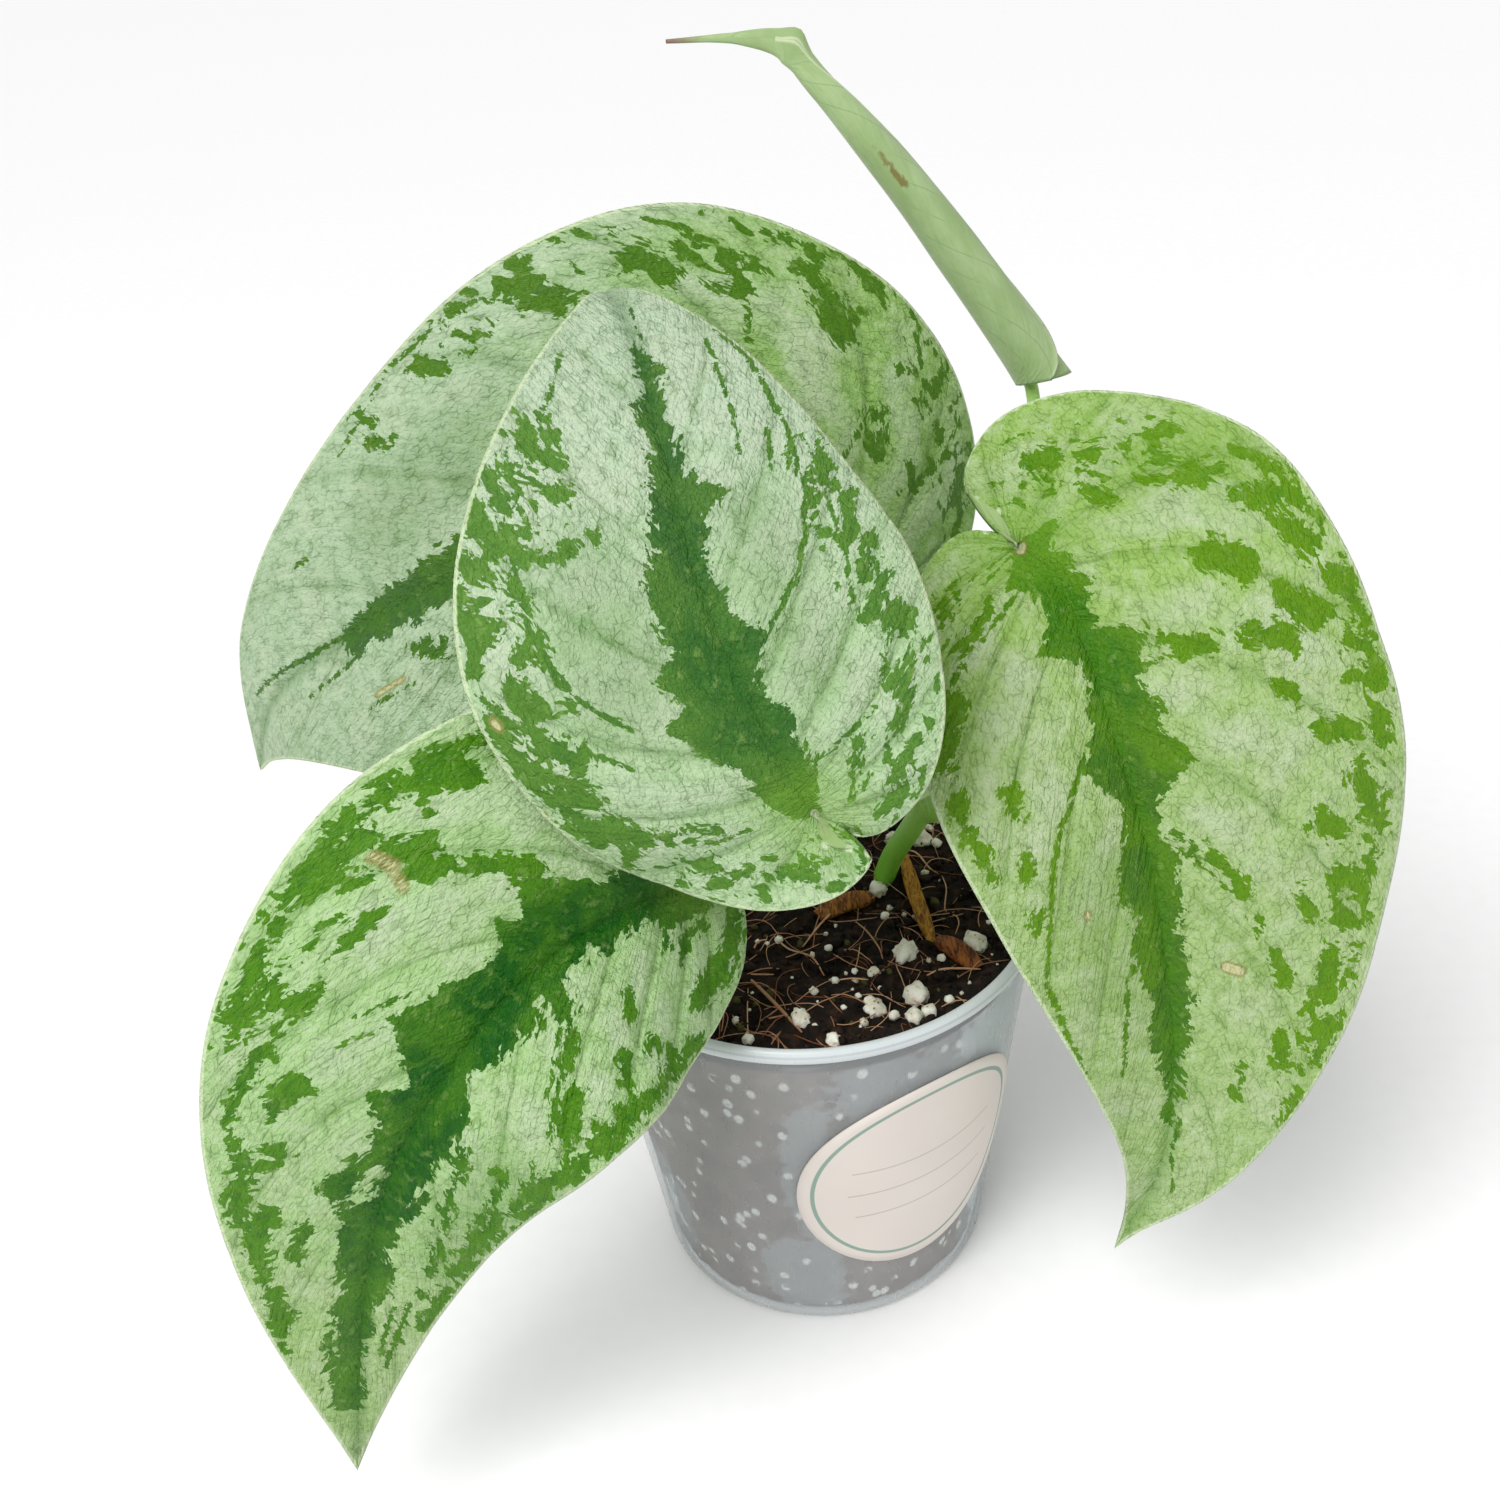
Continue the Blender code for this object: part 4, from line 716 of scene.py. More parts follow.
def vein_relief(half, shares, out_share, spacing, x, reach, length):
    """The distance off the nearest side vein, and the relief: soft grooves with swellings between them."""
    phase = shares * SIDE_VEINS + (SECOND_HALF_SHIFT if half else 0.0)
    apart = np.clip(spacing / SIDE_VEINS / FULL_SPACING - 0.15, 0.02, 1)
    away = (phase - np.round(phase)) / SIDE_VEINS * spacing / apart
    off = np.abs(phase - np.round(phase))
    groove = np.exp(-(away / VEIN_WIDTH) ** 2)
    fade = np.sin(np.pi * np.clip(0.06 + 0.9 * out_share, 0, 1)) ** 0.7
    swell = np.sin(np.pi * off)
    pucker = np.sin(0.55 * x + 1.3 * np.sin(0.3 * reach + half)) * np.sin(0.24 * reach + 0.11 * x + half)
    height = apart * (SWELL_HEIGHT * swell - VEIN_DEPTH * groove) + PUCKER_HEIGHT * pucker
    return away, fade * height * np.clip(1.2 - x / length, 0.2, 1)


def blade_points(name):
    """The fine sheet of a blade with what its material needs at each point."""
    blade = BLADES[name]
    frames, (index, count) = blade_frames(blade), sheet_index()
    length = frames[0]
    patches = [stroke for stroke in STROKES[name] if stroke[0] >= LINE_WIDTH]
    thin = [(width - THIN_LINE_TRIM, *points) for width, *points in STROKES[name] if width < LINE_WIDTH]
    drawn = dict(lines=thin, mottles=MOTTLES[name], painted_shade=PAINTED_SHADE_STROKES[name], scars=SCARS[name])
    middle, fields = np.zeros((count, 3)), {key: np.zeros((count, 3)) for key in ("veins", "flat", "blocks")}
    fields.update({key: np.zeros(count) for key in ("edge", "marks", *drawn, "ribs", "relief")})
    shares, t = np.linspace(0, 1, VEIN_ROWS) ** ROW_SPREAD, np.linspace(0, 1, VEIN_COLUMNS) ** 1.2
    for half in (0, 1):
        margin, _ = smooth_path(half_margin(length, blade["width"][half], blade["cut"][half]), shares)
        root = np.stack([length * shares ** VEIN_START, 0 * shares], 1)
        chord = margin - root
        knee = (margin + root) / 2 + VEIN_SWEEP * np.stack([-chord[:, 1], chord[:, 0]], 1)
        grid = ((1 - t)[None, :, None] ** 2 * root[:, None] + 2 * (t * (1 - t))[None, :, None] * knee[:, None]
                + t[None, :, None] ** 2 * margin[:, None])
        x, y = grid[..., 0], grid[..., 1]
        out = np.cumsum(np.linalg.norm(np.diff(grid, axis=1, prepend=grid[:, :1]), axis=2), axis=1)
        spacing = np.linalg.norm(np.gradient(grid, shares, axis=0), axis=2)
        sign, where = (1 if half else -1), index[half]
        across = 0.4 * length * shares ** VEIN_START + 0.6 * length * shares
        turn = math.radians(BLOCK_TURNS[half])
        sine, cosine = math.sin(turn), math.cos(turn)
        middle[where] = bend(blade, frames, x, y, half)
        fields["veins"][where] = np.stack([across[:, None] + 0 * x, sign * out, 0 * x], -1)
        fields["flat"][where] = np.stack([x, sign * y, 0 * x], -1)
        fields["blocks"][where] = np.stack([x * sine - y * cosine, x * cosine + y * sine, 0 * x], -1)
        near = np.linalg.norm(grid[:, :, None] - margin[None, None, ::2], axis=3).min(2)
        near[:, -1] = 0
        fields["edge"][where] = near
        feather = np.interp(x, *zip(*FEATHERS[name][half])) - y
        green = np.maximum(feather, stroke_field(x, sign * y, patches))
        fields["marks"][where] = np.minimum(green, -stroke_field(x, sign * y, HOLES[name]))
        for key, strokes in drawn.items():
            fields[key][where] = stroke_field(x, sign * y, strokes)
        fields["ribs"][where], fields["relief"][where] = vein_relief(
            half, shares[:, None] + 0 * x, t[None, :] + 0 * x, spacing, x, y, length)
    return length, index, middle, fields


def midrib_line(reach, share, height, width, lost):
    """A rounded line along the midrib that loses some of its height towards the tip."""
    return height * np.exp(-(reach / width) ** 2) * (1 - lost * share)


def point_normals(points, faces):
    normals = np.zeros_like(points)
    for size in (3, 4):
        some = np.array([face for face in faces if len(face) == size])
        if len(some):
            flat = np.cross(points[some[:, 2]] - points[some[:, 0]], points[some[:, -1]] - points[some[:, 1]])
            for k in range(size):
                np.add.at(normals, some[:, k], flat)
    return normals / np.linalg.norm(normals, axis=1)[:, None]


def make_leaf(name):
    length, index, middle, fields = blade_points(name)
    faces = sheet_faces(index)
    normals = point_normals(middle, faces)
    share, reach = np.clip(fields["flat"][:, 0] / length, 0, 1), np.abs(fields["flat"][:, 1])
    half_thick = LEAF_THICKNESS / 2 * np.sqrt(np.clip(fields["edge"] / MARGIN_ROUNDING, MARGIN_LEAST, 1))
    groove = midrib_line(reach, share, *MIDRIB_GROOVE)
    rib = midrib_line(reach, share, *MIDRIB_RIDGE)
    upper = middle + normals * (fields["relief"] + half_thick - groove)[:, None]
    lower = middle + normals * (fields["relief"] - half_thick - rib)[:, None]
    count = len(middle)
    skin = faces + [[count + c for c in reversed(face)] for face in faces]
    for half in (0, 1):
        rim = [int(index[half, row, -1]) for row in range(VEIN_ROWS)]
        for a, b in zip(rim, rim[1:]):
            skin.append([b, a, count + a, count + b] if half else [a, b, count + b, count + a])
    which = [0] * len(faces) + [1] * len(faces) + [0] * (len(skin) - 2 * len(faces))
    looks = [leaf_face("face_" + name, TINTS[name]), leaf_underside("underside_" + name, TINTS[name])]
    leaf = mesh_piece("satin_" + name, np.vstack([upper, lower]), skin, looks, which)
    for key, values in fields.items():
        keep(leaf, key, np.concatenate([values, values]))
    stands_for(leaf, name)


def jagged_mask(n):
    """Where the blade is green: the strokes and the feather, torn into blocky patches along the veins."""
    blocks = n.attribute("blocks", "Vector")
    bent = n.shaken(blocks, (9, 9), 5)
    coarse, middle, fine = (n.split(n.cells(bent, sizes, "Color", distance="CHEBYCHEV"), channel)
                            for channel, sizes in enumerate(BLOCK_SIZES))
    small = n.math("ADD", n.spread(middle, 1.3), n.spread(fine, 0.7))
    drift = n.spread(n.noise(blocks, (2.2, 4.0), 1.0), 7.0)
    loose = n.math("MINIMUM", n.math("ADD", drift, -0.9), n.attribute("mottles"))
    torn = n.math("ADD", n.spread(coarse, 1.7), small)
    field = n.math("ADD", n.math("MAXIMUM", n.attribute("marks"), loose), torn)
    thin = n.math("MULTIPLY_ADD", small, 0.45, n.attribute("lines"))
    return n.step(n.math("MAXIMUM", field, thin), -0.05, 0.05), coarse, middle


def leaf_face(name, tints):
    """Satin silver with deep green marks, a pale margin, fine veins, a leathery net, and painted shade and
    light on its relief.
    """
    n = Nodes(name, "2D")
    veins, flat, edge = n.attribute("veins", "Vector"), n.attribute("flat", "Vector"), n.attribute("edge")
    mask, coarse, middle = jagged_mask(n)
    along, out = n.split(flat, 0), n.math("ABSOLUTE", n.split(flat, 1))
    streak = n.noise(veins, (1.1, 9.0), 2.0, 0.6)
    cloud = n.noise(flat, (9, 8), 2.0)
    beyond = n.step(n.math("ADD", along, n.spread(cloud, 40.0)), *map(float, tints["change"]))
    silver = n.mix(beyond, *tints["silver"])
    silver = n.paint(silver, SHADES["silver_cloud"], cloud, 0.40, 0.72, 0.30)
    leather = n.noise(flat, (2.6, 2.0), 3.0, 0.65)
    # Painted shade and light for the leathery crinkles, whose noise also shapes the bump: darker where it is
    # high, paler where it is low.
    silver = n.paint(silver, tints["bright"], leather, 0.50, 0.72, 0.26)
    silver = n.paint(silver, SHADES["crinkle_painted_light"], leather, 0.48, 0.28, 0.30)
    silver = n.paint(silver, tints["bright"], streak, 0.46, 0.74, 0.12)
    silver = n.paint(silver, tints["bright"], middle, 0.70, 0.98, 0.07)
    # Painted shade in the side veins' grooves and painted light on the swellings between them, following the
    # relief.
    relief = n.attribute("relief")
    silver = n.paint(silver, tints["bright"], relief, 0.12, -0.22, 0.34)
    silver = n.paint(silver, SHADES["painted_light_on_swells"], relief, 0.25, 0.5, 0.30)
    wander = n.spread(n.noise(flat, (2.5, 2.5), 1.0), 1.8)
    rib = n.step(n.math("ABSOLUTE", n.math("ADD", n.attribute("ribs"), wander)), 0.32, 0.06)
    silver = n.mix(n.times(rib, n.step(cloud, 0.40, 0.60, 0.0, 0.38)), silver, tints["deep"][1])
    # Painted shade in thin creases and in the lines of the leathery net, which the bump also sinks.
    ridge = n.noise(veins, (2.0, 7.0), 1.0, 0.5, 0.5)
    fold = n.step(n.math("ABSOLUTE", n.spread(ridge, 2.0)), 0.05, 0.0)
    crease_shade = n.times(fold, n.step(leather, 0.42, 0.60))
    silver = n.mix(n.times(crease_shade, 0.26), silver, tints["deep"][1])
    threads = n.cells(n.shaken(flat, (3, 3), 1.6), (1.5, 1.1), feature="DISTANCE_TO_EDGE")
    net = n.times(n.step(threads, 0.13, 0.0), n.step(leather, 0.34, 0.62, 0.15, 1.0))
    silver = n.mix(n.times(net, 0.24), silver, tints["deep"][1])
    # Painted shade: broad strokes where the silver turns darker and greener.
    dent = n.step(n.attribute("painted_shade"), -5.0, 4.0)
    silver = n.mix(n.times(dent, 0.30), silver, tints["bright"])
    green = n.mix(beyond, *tints["deep"])
    outward = n.times(n.step(out, 3.0, 13.0), n.step(coarse, 0.0, 0.8, 0.55, 1.0))
    green = n.mix(outward, green, tints["bright"])
    green = n.paint(green, tints["bright"], cloud, 0.42, 0.66, 0.5)
    green = n.paint(green, tints["bright"], middle, 0.45, 0.95, 0.35)
    green = n.paint(green, tints["deep"][0], leather, 0.46, 0.30, 0.35)
    green = n.paint(green, SHADES["fresh_green"], leather, 0.56, 0.74, 0.30)
    colour = n.mix(mask, silver, green)
    midrib = n.times(n.step(out, 2.4, 0.1), n.step(along, -1.0, 4.0, 0.0, 0.4))
    colour = n.mix(midrib, colour, tints["deep"][0])
    by_stalk = n.step(n.add("VectorMath", {0: flat}, "Value", operation="LENGTH"), 13.0, 3.0, 0.0, 0.5)
    colour = n.mix(by_stalk, colour, SHADES["stalk_end"])
    scar = n.attribute("scars")
    colour = n.paint(colour, SHADES["scar_ring"], scar, -0.35, 0.0, 0.8)
    colour = n.paint(colour, SHADES["scar_heart"], scar, 0.05, 0.3, 0.9)
    rim = n.step(n.math("ADD", edge, n.spread(streak, 0.4)), 0.75, 0.42)
    colour = n.mix(n.times(rim, 0.9), colour, SHADES["margin"])
    crepe = n.noise(flat, (0.9, 0.7), 2.0, 0.65)
    swell = n.times(n.math("ADD", crepe, n.math("ADD", leather, streak)), 0.45)
    normal = n.bump(n.math("MULTIPLY_ADD", net, -0.1, swell), 1.0)
    roughness = n.step(mask, 0.0, 1.0, 0.46, 0.38)
    shine = n.step(mask, 0.0, 1.0, 0.36, 0.22)
    face = n.surface(colour, roughness, normal, Specular_IOR_Level=shine)
    return n.lit_through(face, colour, SHADES["light_through_leaf"], 0.13)


def leaf_underside(name, tints):
    """Paler and matt, with the marks showing faintly and the veins a little raised."""
    n = Nodes(name, "2D")
    veins, edge, mask = n.attribute("veins", "Vector"), n.attribute("edge"), jagged_mask(n)[0]
    streak = n.noise(veins, (0.8, 9.0), 3.0, 0.6)
    colour = n.mix(n.step(streak, 0.3, 0.8), SHADES["under_dark"], SHADES["under_pale"])
    colour = n.mix(n.times(mask, 0.30), colour, tints["bright"])
    rib = n.step(n.math("ABSOLUTE", n.split(n.attribute("flat", "Vector"), 1)), 1.5, 0.7)
    colour = n.mix(n.times(rib, 0.5), colour, SHADES["under_rib"])
    colour = n.paint(colour, SHADES["under_margin"], edge, 0.6, 0.3, 0.7)
    normal = n.bump(streak, 0.4, 0.5)
    face = n.surface(colour, 0.55, normal, Specular_IOR_Level=0.3)
    return n.lit_through(face, colour, SHADES["light_through_leaf"], 0.22)


def facing(direction):
    """The turn that points a camera or a light along a direction."""
    return direction.to_track_quat("-Z", "Y").to_matrix()


def look_at_photo():
    """The camera, placed and rolled as the photograph was taken."""
    data = bpy.data.cameras.new("photo_camera")
    data.lens, data.sensor_width = CAMERA_LENS, CAMERA_SENSOR
    data.clip_start, data.clip_end = 0.01, 20.0
    camera = bpy.data.objects.new("photo_camera", data)
    look = facing(CAMERA_AIM - CAMERA_PLACE)
    turn = Matrix.Rotation(math.radians(CAMERA_ROLL), 3, "Z")
    camera.matrix_world = Matrix.Translation(CAMERA_PLACE * MM) @ (look @ turn).to_4x4()
    bpy.context.scene.collection.objects.link(camera)
    bpy.context.scene.camera = camera


def area_light(name, place, size, power):
    data = bpy.data.lights.new(name, "AREA")
    data.shape, data.size, data.energy = "DISK", size, power
    lamp = bpy.data.objects.new(name, data)
    place = Vector(place)
    lamp.matrix_world = Matrix.Translation(place) @ facing(LIGHT_AIM - place).to_4x4()
    bpy.context.scene.collection.objects.link(lamp)


def make_studio():
    """A pale floor, a white surround, a wide sky panel and two large soft lights."""
    world = bpy.data.worlds.new("studio")
    world.use_nodes = True
    background = world.node_tree.nodes["Background"]
    background.inputs["Color"].default_value = (1.0, 1.0, 1.0, 1)
    background.inputs["Strength"].default_value = SURROUND_STRENGTH
    bpy.context.scene.world = world
    bpy.context.scene.view_settings.view_transform = "Standard"
    sun = bpy.data.lights.new("sky_panel", "SUN")
    sun.energy, sun.angle = SKY_STRENGTH, math.radians(SKY_SPREAD)
    panel = bpy.data.objects.new("sky_panel", sun)
    panel.matrix_world = facing(SKY_HEADING).to_4x4()
    bpy.context.scene.collection.objects.link(panel)
    for light in SOFT_LIGHTS:
        area_light(*light)
    n = Nodes("studio_floor")
    grain = n.noise(n.place(), 0.004, 0.0)
    colour = n.mix(grain, (0.93, 0.93, 0.93, 1), (0.96, 0.96, 0.96, 1))
    paper = n.done(n.surface(colour, 0.85, Specular_IOR_Level=0.1))
    corners = [(FLOOR_REACH * x, FLOOR_REACH * y, 0) for x, y in ((-1, -1), (1, -1), (1, 1), (-1, 1))]
    mesh_piece("studio_floor", corners, [(0, 1, 2, 3)], [paper])


def cup_wall_radius(height):
    """The outer radius of the wall at a height above its base."""
    foot, shoulder = 1.4, CUP_HEIGHT - CUP_RIM_HEIGHT
    share = (height - foot) / (shoulder - foot)
    return CUP_BASE_RADIUS + 0.2 + share * (CUP_SHOULDER_RADIUS - CUP_BASE_RADIUS - 0.2)


def turned(profile, segments):
    """Points and faces of a body of revolution. The profile is (radius, height) from the axis round to it."""
    points, faces, loops = [], [], []
    for radius, height in profile:
        if radius == 0:
            loops.append([len(points)])
            points.append((0, 0, height))
        else:
            loops.append(list(range(len(points), len(points) + segments)))
            points += [(radius * math.cos(a), radius * math.sin(a), height) for a in circle(segments)]
    for low, high in zip(loops, loops[1:]):
        for k in range(segments):
            n = k + 1
            corners = [low[k % len(low)], low[n % len(low)], high[n % len(high)], high[k % len(high)]]
            faces.append(list(dict.fromkeys(corners)))
    return points, faces


def axis_reach(n, place):
    """How far a place is from the cup's axis."""
    level = n.add("VectorMath", {0: place, 1: (1, 1, 0)}, operation="MULTIPLY")
    return n.add("VectorMath", {0: level}, "Value", operation="LENGTH")


def cup_plastic():
    """Milky see-through plastic with a whiter rim, a thin line of painted shade just below its top edge, and
    scuffs.
    """
    n = Nodes("cup_plastic")
    place = n.place()
    height, slope = n.split(place, 2), (CUP_SHOULDER_RADIUS - CUP_BASE_RADIUS) / CUP_HEIGHT
    rim = n.step(height, (CUP_HEIGHT - CUP_RIM_HEIGHT - 0.6) * MM, (CUP_HEIGHT - CUP_RIM_HEIGHT + 0.2) * MM)
    cloud = n.noise(place, (0.011, 0.011, 0.014), 3.0)
    colour = n.mix(rim, n.mix(cloud, SHADES["milk_dark"], SHADES["milk_pale"]), SHADES["rim_milk"])
    # Painted shade: a thin grey line just below the top edge.
    lip = n.math("ABSOLUTE", n.math("SUBTRACT", height, (CUP_HEIGHT - 0.9) * MM))
    colour = n.mix(n.step(lip, 0.25 * MM, 0.1 * MM, 0.0, 0.35), colour, SHADES["lip_shade"])
    scuff = n.noise(place, (0.0006, 0.0006, 0.006), 3.0, 0.6)
    grain = n.noise(place, 0.0011, 2.0)
    normal = n.bump(grain, 0.05, 0.4)
    roughness = n.step(scuff, 0.3, 0.7, 0.26, 0.40)
    solid = n.surface(colour, roughness, normal, Specular_IOR_Level=0.5)
    clear = n.add("BsdfTransparent", {"Color": SHADES["clear_plastic"]})
    middle = n.math("MULTIPLY_ADD", height, slope, (CUP_BASE_RADIUS + 0.1 - CUP_WALL / 2) * MM)
    inner = n.step(n.math("SUBTRACT", axis_reach(n, place), middle), 0.15 * MM, -0.15 * MM, 0.68, 0.94)
    return n.done(n.blend(n.math("MINIMUM", inner, n.step(rim, 0.0, 1.0, 1.0, 0.15)), solid, clear))


def make_pot():
    shoulder = CUP_HEIGHT - CUP_RIM_HEIGHT
    inner_top = CUP_RIM_RADIUS - 1.7
    outside = [
        (0, 0.3), (CUP_BASE_RADIUS - 3.2, 0.3), (CUP_BASE_RADIUS - 2.6, 0.0), (CUP_BASE_RADIUS - 1.2, 0),
        (CUP_BASE_RADIUS - 0.5, 0.25), (CUP_BASE_RADIUS - 0.1, 0.7), (cup_wall_radius(1.4), 1.4)]
    wall = [(cup_wall_radius(h), h) for h in np.linspace(8, shoulder - 1.6, 9)]
    rim = [
        (CUP_SHOULDER_RADIUS - 0.1, shoulder - 0.5), (CUP_SHOULDER_RADIUS + 0.1, shoulder - 0.1),
        (CUP_RIM_RADIUS - 0.25, shoulder + 0.1), (CUP_RIM_RADIUS - 0.02, shoulder + 0.45),
        (CUP_RIM_RADIUS, shoulder + 1.3), (CUP_RIM_RADIUS - 0.25, CUP_HEIGHT - 0.45),
        (CUP_RIM_RADIUS - 0.6, CUP_HEIGHT - 0.1), (CUP_RIM_RADIUS - 0.95, CUP_HEIGHT),
        (inner_top + 0.3, CUP_HEIGHT - 0.12), (inner_top + 0.05, CUP_HEIGHT - 0.5),
        (inner_top, shoulder + 0.9)]
    inside = [(cup_wall_radius(h) - CUP_WALL, h) for h in np.linspace(shoulder - 3, 2.6, 8)]
    inside += [(cup_wall_radius(1.6) - CUP_WALL - 0.35, 1.5), (CUP_BASE_RADIUS - 2.2, 1.0), (0, 1.0)]
    points, faces = turned(outside + wall + rim + inside, CUP_SEGMENTS)
    pot = mesh_piece("milky_cup", points, faces, [cup_plastic()])
    round_bar, bar_faces = turned([(0, -2), (DRAIN_RADIUS, -2), (DRAIN_RADIUS, 3), (0, 3)], DRAIN_SIDES)
    drills = []
    for k in range(DRAIN_HOLES):
        a = 2 * math.pi * (k + DRAIN_TURN) / DRAIN_HOLES
        right, back = DRAIN_RING * math.cos(a), DRAIN_RING * math.sin(a)
        bar = [(x + right, y + back, z) for x, y, z in round_bar]
        drills.append(mesh_piece("drill_%d" % k, bar, bar_faces, []))
        cut = pot.modifiers.new("drain_%d" % k, "BOOLEAN")
        cut.operation, cut.object = "DIFFERENCE", drills[k]
    apply_modifiers(pot)
    for drill in drills:
        bpy.data.objects.remove(drill)
    stands_for(pot, "pot")


def on_wall(across, up, lift):
    """A point of the label's flat plan, wrapped on the cup's cone and lifted off it."""
    slope = math.atan2(CUP_SHOULDER_RADIUS - CUP_BASE_RADIUS, CUP_HEIGHT - CUP_RIM_HEIGHT)
    middle = cup_wall_radius(LABEL_HEIGHT) / math.sin(slope)
    reach = math.hypot(middle + up, across)
    turn = math.atan2(across, middle + up) / math.sin(slope)
    radius = reach * math.sin(slope) + lift * math.cos(slope)
    height = LABEL_HEIGHT + (reach - middle) * math.cos(slope) - lift * math.sin(slope)
    bearing = math.radians(LABEL_TURN) + turn
    return (radius * math.sin(bearing), -radius * math.cos(bearing), height)


def label_paper():
    """Cream paper with a thin muted green ring and three faint lines to write on."""
    n = Nodes("label_paper")
    plan = n.attribute("plan", "Vector")
    across, up = n.split(plan, 0), n.split(plan, 1)
    reach = n.add("VectorMath", {0: plan}, "Value", operation="LENGTH")
    cloud = n.noise(plan, (16, 16), 2.0)
    colour = n.mix(cloud, SHADES["paper_dark"], SHADES["paper_pale"])
    ring = n.step(n.math("ABSOLUTE", n.math("SUBTRACT", reach, LABEL_RADIUS - RING_INSET)), 0.42, 0.30)
    colour = n.mix(n.times(ring, 0.85), colour, SHADES["ring_green"])
    for height, half_length in WRITING_LINES:
        line = n.step(n.math("ABSOLUTE", n.math("SUBTRACT", up, height)), 0.20, 0.12)
        ends = n.step(n.math("ABSOLUTE", across), half_length + 0.1, half_length - 0.1)
        colour = n.mix(n.times(n.times(line, ends), 0.5), colour, SHADES["line_grey"])
    fibre = n.noise(plan, (0.35, 0.5), 3.0, 0.6)
    normal = n.bump(fibre, 0.03, 0.5)
    return n.done(n.surface(colour, 0.55, normal, Specular_IOR_Level=0.3))


def make_label():
    rings, sides = LABEL_RINGS, LABEL_SIDES
    points, plan, faces = [], [], []
    for lift in (LABEL_LIFT, LABEL_LIFT + LABEL_THICKNESS):
        points.append(on_wall(0, 0, lift))
        plan.append((0, 0, 0))
        for ring in range(1, rings + 1):
            upper_edge = ring == rings and lift > LABEL_LIFT
            reach = LABEL_RADIUS * ring / rings - (LABEL_EDGE_ROUNDING if upper_edge else 0)
            for a in circle(sides):
                points.append(on_wall(reach * math.cos(a), reach * math.sin(a), lift))
                plan.append((reach * math.cos(a), reach * math.sin(a), 0))
    layer = 1 + rings * sides
    for base in (0, layer):
        for k in range(sides):
            n = (k + 1) % sides
            fan = [(base, base + 1 + k, base + 1 + n)]
            for ring in range(rings - 1):
                a, b = base + 1 + ring * sides, base + 1 + (ring + 1) * sides
                fan.append((a + k, b + k, b + n, a + n))
            faces += fan if base else [corners[::-1] for corners in fan]
    edge = 1 + (rings - 1) * sides
    for k in range(sides):
        n = (k + 1) % sides
        faces.append((edge + k, edge + n, layer + edge + n, layer + edge + k))
    label = mesh_piece("paper_label", points, faces, [label_paper()])
    keep(label, "plan", plan)
    stands_for(label, "label")


class Heap:
    """Gathers many small solids into one piece, with a material and a tone from 0 to 1 for each."""

    def __init__(self):
        self.points, self.faces, self.which, self.tones = [], [], [], []

    def add(self, points, faces, material, tone):
        start = len(self.points)
        self.points += [tuple(point) for point in points]
        self.faces += [[start + corner for corner in face] for face in faces]
        self.which += [material] * len(faces)
        self.tones += [tone] * len(points)

    def tube(self, path, radii, material, tone, sides=6):
        """A closed tube along a path, rounded off at both ends."""
        path = [Vector(point) for point in path]
        rings, side = [], Vector((0.05, 0.1, 1))
        for i, here in enumerate(path):
            ahead = (path[min(i + 1, len(path) - 1)] - path[max(i - 1, 0)]).normalized()
            side = (side - side.dot(ahead) * ahead).normalized()
            other = ahead.cross(side)
            rings.append([here + radii[i] * (math.cos(a) * side + math.sin(a) * other)
                          for a in circle(sides)])
        points = [point for ring in rings for point in ring] + [path[0], path[-1]]
        first, last, faces = len(points) - 2, len(points) - 1, []
        for k in range(sides):
            n = (k + 1) % sides
            faces += [(first, n, k), (last, (len(rings) - 1) * sides + k, (len(rings) - 1) * sides + n)]
            faces += [(i * sides + k, i * sides + n, (i + 1) * sides + n, (i + 1) * sides + k)
                      for i in range(len(rings) - 1)]
        self.add(points, faces, material, tone)

    def piece(self, name, materials):
        made = mesh_piece(name, self.points, self.faces, materials, self.which)
        keep(made, "tone", self.tones)
        return made


def round_template(subdivisions):
    """Points and faces of a ball of radius 1."""
    ball = bmesh.new()
    bmesh.ops.create_icosphere(ball, subdivisions=subdivisions, radius=1)
    points = [vertex.co.copy() for vertex in ball.verts]
    faces = [[vertex.index for vertex in face.verts] for face in ball.faces]
    ball.free()
    return points, faces


def lump(template, place, sizes, turn, rough, seed, grain=1.6):
    """A ball knocked out of shape: big hollows, then small ones."""
    spin = Matrix.Rotation(turn, 3, (0.3, 0.5, 0.8))
    points = []
    for direction in template[0]:
        here = direction * grain + Vector((seed * 3.7, seed * 1.9, seed * 2.3))
        reach = 1 + rough * noise.noise(here) + 0.4 * rough * noise.noise(here * 2.9)
        points.append(Vector(place) + spin @ Vector([c * size * reach for c, size in zip(direction, sizes)]))
    return points, template[1]


def soil_height(x, y):
    """The top of the mix: low mounds and hollows that die away at the wall."""
    bumps = math.sin(0.21 * x + 1.3) * math.cos(0.27 * y) + 0.6 * math.sin(0.43 * y - 0.31 * x + 0.7)
    return SOIL_TOP + SOIL_BUMP * 0.7 * bumps


def crumbly_height(x, y):
    """The top of the mix with its crumbs, as rounded heads of two sizes with dark cracks between."""
    here = Vector((x, y, 3.0))
    clod = noise.voronoi(here / 3.4)[0][0]
    crumb = noise.voronoi(here / 1.5 + Vector((9, 4, 2)))[0][0]
    return soil_height(x, y) + 0.9 * (0.5 - clod) + 0.55 * (0.45 - crumb) + 0.5 * noise.noise(here / 1.1)


